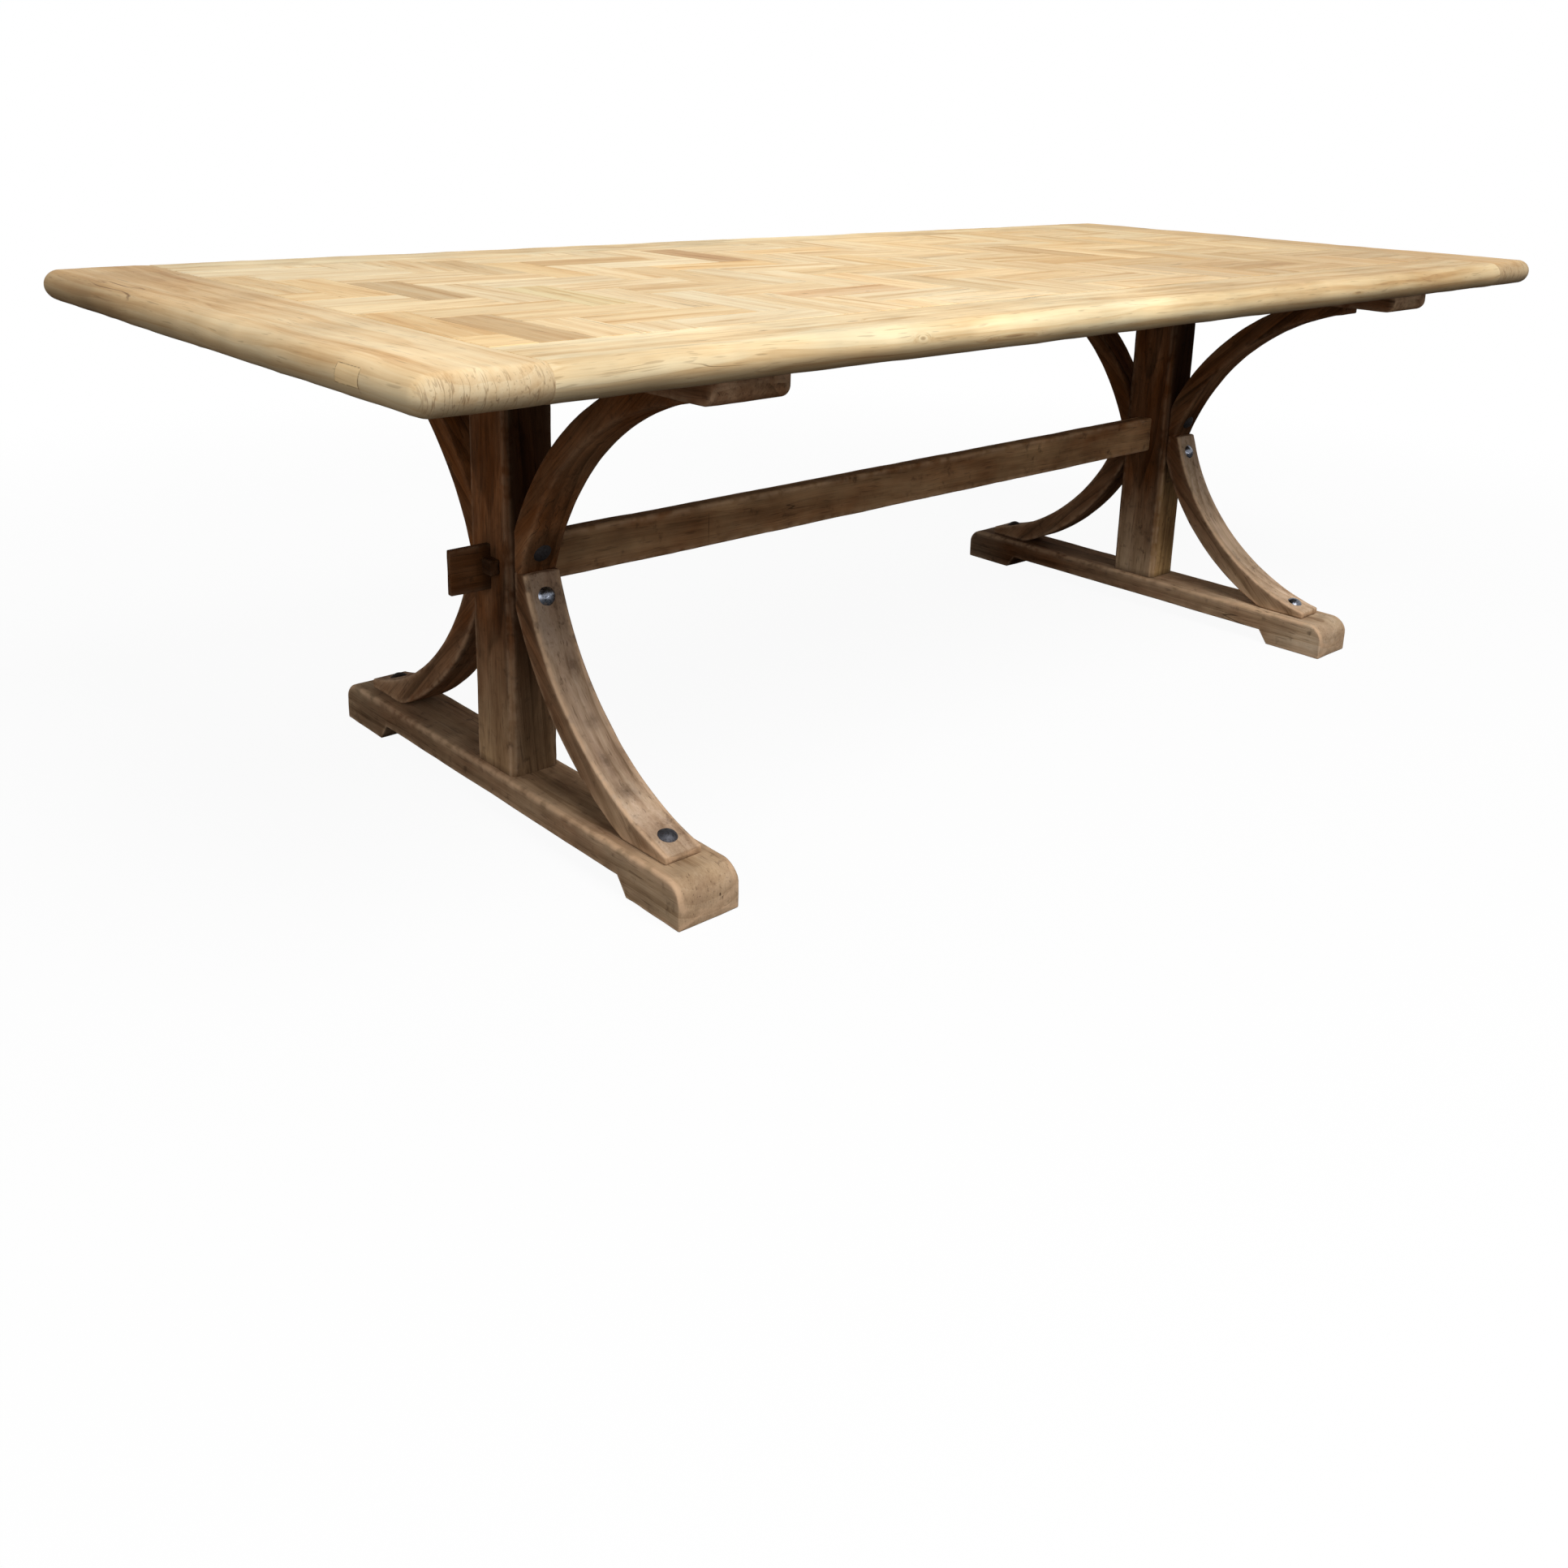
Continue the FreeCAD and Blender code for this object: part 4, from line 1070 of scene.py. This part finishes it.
# look of a lower brace: paler on its hollow face and towards the foot; painted shade where it meets the
# foot and over the back braces, and painted light that makes the far front brace's hollow paler
def lowerValues(values, hollow, z, sign, face):
    b = lowerLook
    low = grow(z, waist, footTop)
    pale = hollow * (b["hollow"] + b["hollowLow"] * low)
    pale = pale + (1 - hollow) * (b["rest"] + b["restLow"] * low ** b["restPower"])
    tint = 1 + hollow[:, None] * b["hollowTint"] + (low[:, None] - b["lowMiddle"]) * b["lowTint"]
    tint = tint + (hollow * (1 - low))[:, None] * b["waistTint"]
    # painted shade over the back braces, painted light on the far front brace's hollow
    if face == "back":
        pale = pale * b["backFace"]
    elif sign > 0:
        pale = np.minimum(pale + b["farHollow"] * hollow, 1)
        tint = tint + b["farTint"] * hollow[:, None]
    values["weathered"] = pale
    values["tint"] = tint
    # painted shade where the brace meets the foot
    values["grime"] = b["contact"] * (1 - hollow) * grow(z, footTop + b["contactHeight"], footTop)


# look of an upper brace: dark all over, with a round stain about its bolt
def upperValues(values, hollow, z, wide):
    b = upperLook
    values["weathered"] = b["weathered"] + b["hollow"] * hollow
    values["tint"] = values["tint"] * b["tint"]
    stain = np.hypot(wide / b["stainSize"], (z - waist - domeBolt["upperFromWaist"]) / b["stainSize"])
    values["grime"] = b["stain"] * hollow * grow(stain, b["stainFrom"], b["stainTo"])


# brace: a rectangle's section between the hollow arc and the back, carried along its path with eased ends
def brace(level, side, sign, face, way, seed):
    b = braceBar
    shape, beamLevel = (upperBrace, bearerUnder) if level == "upper" else (lowerBrace[face], footTop)
    hollow, behind, nose, tip = bracePath(shape, beamLevel)
    pieceLengths = np.linalg.norm(np.diff(hollow, axis=0), axis=1)
    travelled = np.concatenate([[0], np.cumsum(pieceLengths)])
    near = b["ease"] * np.array(b["easeParts"])
    wanted = np.unique(np.concatenate([near, travelled[2:-2], travelled[-1] - near]))
    hollow = np.stack([np.interp(wanted, travelled, hollow[:, i]) for i in range(2)], -1)
    behind = np.stack([np.interp(wanted, travelled, behind[:, i]) for i in range(2)], -1)
    shrink = easeIn(np.minimum(wanted, wanted[-1] - wanted), b["ease"])
    thick = np.linalg.norm(behind - hollow, axis=1)
    inward = (behind - hollow) / thick[:, None]
    corners = rectangle(shrink, thick - shrink, -braceWidth / 2 + shrink, braceWidth / 2 - shrink)
    ring, wear = roundedRing(corners, b["edge"], b["edgeSteps"], sideParts)
    flatPlan = hollow[:, None] + ring[..., :1] * inward[:, None]
    points = np.stack([sign * trestleX + ring[..., 1], way * flatPlan[..., 0], flatPlan[..., 1]], -1)
    flat = withCaps(points)
    chord = (tip - nose) / np.linalg.norm(tip - nose)
    plan = np.stack([way * flat[:, 1], flat[:, 2]], -1) - nose
    wide = flat[:, 0] - sign * trestleX
    random = np.random.default_rng(seed)
    aside = np.array([-chord[1], chord[0]])
    grain = np.stack([plan @ chord + random.uniform(0, b["grainStart"]),
                      plan @ aside + random.uniform(-b["pithAcross"], b["pithAcross"]),
                      wide + random.uniform(*b["pithDepth"])], -1)
    values = plainValues(grain)
    values["wear"] = withCaps(wear) * b["wear"][level]
    hollowShare = withCaps(grow(ring[..., 0], b["hollowOver"], 0))
    if level == "lower":
        lowerValues(values, hollowShare, flat[:, 2], sign, face)
    else:
        upperValues(values, hollowShare, flat[:, 2], wide)
    trestlePiece("_".join(["brace", level, side, face]), flat, wear, values, seed)


seeds = dict(bearer=101, post=131, foot=161, upper=201, lower=301, key=431, sideStep=10, braceStep=20,
             faceStep=7)
for number, (side, sign) in enumerate(sides.items()):
    for name, build in (("bearer", bearer), ("post", post), ("foot", foot)):
        build(side, sign, seeds[name] + seeds["sideStep"] * number)
    for turn, (face, way) in enumerate(faces.items()):
        for level in ("upper", "lower"):
            brace(level, side, sign, face, way,
                  seeds[level] + seeds["braceStep"] * number + seeds["faceStep"] * turn)
print("trestles made")

stretcherBar = dict(edge=0.004, edgeSteps=3, ease=0.001, spacing=0.015, tenonThick=0.010, tenonHigh=0.067,
                    tenonEdge=0.0015, tenonSpacing=0.01, into=0.004, grainStart=3.0,
                    pith=(-0.012, 0.09), tilt=0.01, weathered=0.3, light=1.06, lightToRight=0.16,
                    tint=(1.12, 1.1, 0.98), tenonTint=(0.84, 0.86, 0.88), tenonShade=0.4, rootShade=0.4,
                    rootOver=0.03, seed=401)


# square bar along x with eased edges and ends, as rings and wear
def barAlong(x0, x1, lowY, highY, lowZ, highZ, edge, spacing):
    s = stretcherBar
    along = easedStations(x1 - x0, s["ease"], spacing)
    shrink = easeIn(np.minimum(along, along[-1] - along), s["ease"])
    corners = rectangle(lowY + shrink, highY - shrink, lowZ + shrink, highZ - shrink)
    ring, wear = roundedRing(corners, edge, s["edgeSteps"], sideParts)
    return np.concatenate([np.broadcast_to((x0 + along)[:, None, None], (*wear.shape, 1)), ring], -1), wear


# stretcher: a board on edge between the posts, with a thin tenon running on through each
def stretcher():
    s = stretcherBar
    low, high = stretcherLow, stretcherHigh
    reach = trestleX - postX
    middle = (low.z + high.z) / 2
    halfTenon = s["tenonThick"] / 2
    parts = [barAlong(-reach, reach, low.y, high.y, low.z, high.z, s["edge"], s["spacing"])]
    for sign in sides.values():
        x0, x1 = sorted((sign * (reach - s["into"]), sign * high.x))
        parts.append(barAlong(x0, x1, -halfTenon, halfTenon, high.z - s["tenonHigh"], high.z,
                              s["tenonEdge"], s["tenonSpacing"]))
    points = np.concatenate([withCaps(rings) for rings, _ in parts])
    quads, offset = [], 0
    for _, wear in parts:
        quads.append(barFaces(*wear.shape) + offset)
        offset += wear.size + 2
    x, y, z = points.T
    grain = np.stack([x + s["grainStart"], z - middle + s["pith"][0] + s["tilt"] * x, y + s["pith"][1]], -1)
    values = plainValues(grain)
    values["wear"] = np.concatenate([withCaps(wear) for _, wear in parts])
    inPost = np.abs(x) > reach
    values["weathered"] = np.where(inPost, 0.0, s["weathered"])
    # paler towards the right: partly painted light on the far side, partly the paler board beyond the seam;
    # painted shade darkens the tenons, most inside the posts and where they leave them
    light = s["light"] + s["lightToRight"] * x[:, None] / reach
    values["tint"] = np.where(inPost[:, None], s["tenonTint"], light * s["tint"])
    outside = grow(np.abs(x), trestleX + postX, trestleX + postX + s["rootOver"])
    values["grime"] = (s["tenonShade"] + s["rootShade"] * (1 - outside)) * inPost
    makePiece("stretcher", worked(points, s["seed"]), np.concatenate(quads), values, trestleWood,
              ["stretcher"])


keyBar = dict(thin=0.012, taper=0.004, edge=0.002, edgeSteps=2, ease=0.002, spacing=0.006,
              parts=(0.15, 0.5, 0.85), grainStart=2, pith=-0.3, wear=0.5, grime=0.6, waver=0.0006,
              waverSize=0.012)


# key: a small tapered bar across the tenon, its thickness growing evenly along it
def key(side, sign, seed):
    k = keyBar
    low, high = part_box("key_" + side)
    along = easedStations(high.y - low.y, k["ease"], k["spacing"])
    share = along / along[-1]
    shrink = easeIn(np.minimum(along, along[-1] - along), k["ease"])
    thick = k["thin"] + k["taper"] * (share if sign > 0 else 1 - share)
    corners = rectangle(shrink, thick - shrink, low.z + shrink, high.z - shrink)
    ring, wear = roundedRing(corners, k["edge"], k["edgeSteps"], k["parts"])
    x = sign * (trestleX + postX + ring[..., 0])
    flat = withCaps(np.stack([x, np.broadcast_to((low.y + along)[:, None], wear.shape), ring[..., 1]], -1))
    values = plainValues(np.stack([flat[:, 1] + k["grainStart"], flat[:, 2] + k["pith"], flat[:, 0]], -1))
    values["wear"] = k["wear"] * withCaps(wear)
    # painted shade: the whole key is darkened, as it sits in the shaded corner against the post
    values["grime"] = np.full(len(flat), k["grime"])
    makePiece("key" + side.capitalize(), uneven(flat, k["waver"], k["waverSize"], seed),
              barFaces(*wear.shape), values, keyWood, ["key_" + side])


stretcher()
for side, sign in sides.items():
    key(side, sign, seeds["key"] + sign)
print("stretcher and keys made")


# bolt's half section as radius and height: dome from the crown to the rim, rim, underside, shank
def boltSection(length):
    d = domeBolt
    ball = (d["headRadius"] ** 2 + (d["headHeight"] - d["rim"]) ** 2) / (2 * (d["headHeight"] - d["rim"]))
    lean = np.linspace(0, math.asin(d["headRadius"] / ball), d["rings"])
    dome = np.stack([ball * np.sin(lean), d["headHeight"] - ball * (1 - np.cos(lean))], -1)
    rest = np.array([[d["headRadius"], 0.0], [d["shank"], 0.0], [d["shank"], -length], [0.0, -length]])
    return np.concatenate([dome, rest])


# section turned about the bolt's axis, the dome dented by noise, set on its seat along a direction
def boltPoints(seat, direction, length, seed):
    d = domeBolt
    section = boltSection(length)
    turn = np.linspace(0, 2 * np.pi, d["turns"], endpoint=False)
    local = np.stack([section[:, None, 0] * np.cos(turn), section[:, None, 0] * np.sin(turn),
                      np.broadcast_to(section[:, 1][:, None], (len(section), len(turn)))], -1)
    dent = softNoise(local + seed, d["hammerSize"], d["hammerSeed"])
    local[..., 2] += d["hammer"] * dent * (local[..., 2] > d["hammerFrom"])
    up = -direction
    sideAxis = np.array([1.0, 0.0, 0.0])
    other = np.cross(up, sideAxis)
    base = seat + direction * d["seatDepth"]
    return base + local[..., :1] * sideAxis + local[..., 1:2] * other + local[..., 2:] * up


# seats of one quarter: points on the hollow arcs, each driven straight out from the arc's centre
def quarterSeats(face):
    d = domeBolt
    shape = lowerBrace[face]
    upper, lower = braceArc(upperBrace, bearerUnder)[2], braceArc(shape, footTop)[2]
    y = shape["reach"] - d["endInset"]
    atFoot = np.array([y, lower[1] - math.sqrt(shape["radius"] ** 2 - (lower[0] - y) ** 2)])
    z = waist - d["lowerFromWaist"]
    atLower = np.array([lower[0] - math.sqrt(shape["radius"] ** 2 - (z - lower[1]) ** 2), z])
    z = waist + d["upperFromWaist"]
    atUpper = np.array([upper[0] - math.sqrt(upperBrace["radius"] ** 2 - (z - upper[1]) ** 2), z])
    return {"bolts_foot": (lower, atFoot, d["footLength"]),
            "bolts_waist_lower": (lower, atLower, d["waistLength"]),
            "bolts_waist_upper": (upper, atUpper, d["waistLength"])}


# four bolts of one kind, one in each quarter of the two trestles
def boltSet(node):
    shells = []
    for sign in sides.values():
        for face, way in faces.items():
            centre, point, length = quarterSeats(face)[node]
            into = (point - centre) / np.linalg.norm(point - centre)
            seat = np.array([sign * trestleX, way * point[0], point[1]])
            direction = np.array([0.0, way * into[0], into[1]])
            shells.append(boltPoints(seat, direction, length, domeBolt["seedStep"] * (len(shells) + 1)))
    rows, columns = shells[0].shape[:2]
    points = np.concatenate([shell.reshape(-1, 3) for shell in shells])
    quads = np.concatenate([gridFaces(rows, columns) + k * rows * columns for k in range(len(shells))])
    dull = np.repeat(domeBolt["dull"][node], rows * columns)
    makePiece(pieceName(node), points, quads, {"grime": dull}, darkSteel, [node])


for node in domeBolt["dull"]:
    boltSet(node)
for node in ("top_screws", "brace_screws"):
    nodes[node].data.materials.clear()
    nodes[node].data.materials.append(darkSteel)
print("bolts made")

stage = dict(floorSize=24.0, floorGap=0.0004, floorScale=(3, 3, 3), floorTones=(0.86, 0.9),
             shadowShare=0.06, fadeFrom=1.6, fadeTo=3.4, bounce=0.14, ambient=0.25)
lamps = dict(
    keyLamp=dict(power=215.0, size=3.0, place=(-0.67, -3.2, 4.69), aim=(0.0, 0.0, 0.45)),
    fillLamp=dict(power=34.0, size=2.4, place=(-3.8, -1.6, 1.5), aim=(0.0, 0.0, 0.45)),
    glintLamp=dict(power=7.0, size=0.14, place=(0.3, -3.4, 1.0), aim=(0.0, 0.0, 0.45)),
    overLamp=dict(power=5.0, size=0.9, place=(0.35, 0.65, 2.1), aim=(0.35, 0.5, 0.0)))
view = dict(place=(-1.9032, -1.7761, 1.0058), turnDegrees=(74.2339, -1.5048, -42.1466), lens=34.2139,
            sensor=36.0, shiftY=-0.15839)


# floor's finish: for the camera a white glow with a share of matt floor that carries the shadow and fades
# with the distance, for all other light a dull grey
def floorFinish():
    material = bpy.data.materials.new("paleFloor")
    material.use_nodes = True
    tree = material.node_tree
    tree.nodes.clear()
    light = addNode(tree, "LightPath").outputs["Is Camera Ray"]
    place = addNode(tree, "TexCoord").outputs["Object"]
    speck = noise(tree, place, stage["floorScale"], 3.0)
    darker, paler = stage["floorTones"]
    shade = ramp(tree, speck, [(0.0, grey(darker)), (1.0, grey(paler))])
    matt = addNode(tree, "BsdfDiffuse", {"Color": shade})
    dull = addNode(tree, "BsdfDiffuse", {"Color": grey(stage["bounce"])})
    away = step(tree, vecCalc(tree, "LENGTH", place), stage["fadeFrom"], stage["fadeTo"])
    share = times(tree, calc(tree, "SUBTRACT", 1.0, away), stage["shadowShare"])
    glow = addNode(tree, "Emission", {"Color": grey(1.0), "Strength": 1.0})
    seen = addNode(tree, "MixShader", {0: share, 1: glow.outputs[0], 2: matt.outputs[0]})
    both = addNode(tree, "MixShader", {0: light, 1: dull.outputs[0], 2: seen.outputs[0]})
    output = addNode(tree, "OutputMaterial")
    tree.links.new(both.outputs[0], output.inputs["Surface"])
    return material


# floor: one square just below the feet
def makeFloor():
    half = stage["floorSize"] / 2
    low = -stage["floorGap"]
    mesh = bpy.data.meshes.new("floor")
    corners = [(-half, -half, low), (half, -half, low), (half, half, low), (-half, half, low)]
    mesh.from_pydata(corners, [], [(0, 1, 2, 3)])
    floor = bpy.data.objects.new("floor", mesh)
    bpy.context.scene.collection.objects.link(floor)
    mesh.materials.append(floorFinish())


# world: white where it is seen, mirrored or seen through, a weaker white as light
def makeWorld():
    world = bpy.data.worlds.new("studio")
    bpy.context.scene.world = world
    world.use_nodes = True
    tree = world.node_tree
    tree.nodes.clear()
    path = addNode(tree, "LightPath").outputs
    seen = calc(tree, "MAXIMUM", path["Is Camera Ray"], path["Is Glossy Ray"])
    seen = calc(tree, "MAXIMUM", seen, path["Is Transmission Ray"])
    strength = addNode(tree, "MapRange", {"Value": seen, "To Min": stage["ambient"], "To Max": 1.0})
    glow = addNode(tree, "Background", {"Color": grey(1.0), "Strength": strength.outputs[0]})
    output = addNode(tree, "OutputWorld")
    tree.links.new(glow.outputs[0], output.inputs["Surface"])


# round soft lamp at a place, turned towards its aim
def softLamp(name, power, size, place, aim):
    lamp = bpy.data.lights.new(name, "AREA")
    lamp.shape = "DISK"
    lamp.size = size
    lamp.energy = power
    holder = bpy.data.objects.new(name, lamp)
    bpy.context.scene.collection.objects.link(holder)
    holder.location = place
    way = Vector(aim) - holder.location
    holder.rotation_euler = way.to_track_quat("-Z", "Y").to_euler()


# camera of the upper picture, with its place, turn, lens and shift
def makeCamera():
    data = bpy.data.cameras.new("camera")
    data.sensor_width = view["sensor"]
    data.lens = view["lens"]
    data.shift_y = view["shiftY"]
    camera = bpy.data.objects.new("camera", data)
    bpy.context.scene.collection.objects.link(camera)
    camera.location = view["place"]
    camera.rotation_euler = [math.radians(a) for a in view["turnDegrees"]]
    bpy.context.scene.camera = camera


makeFloor()
makeWorld()
for name, lamp in lamps.items():
    softLamp(name, **lamp)
makeCamera()
bpy.context.scene.view_settings.view_transform = "Standard"
print("stage made")
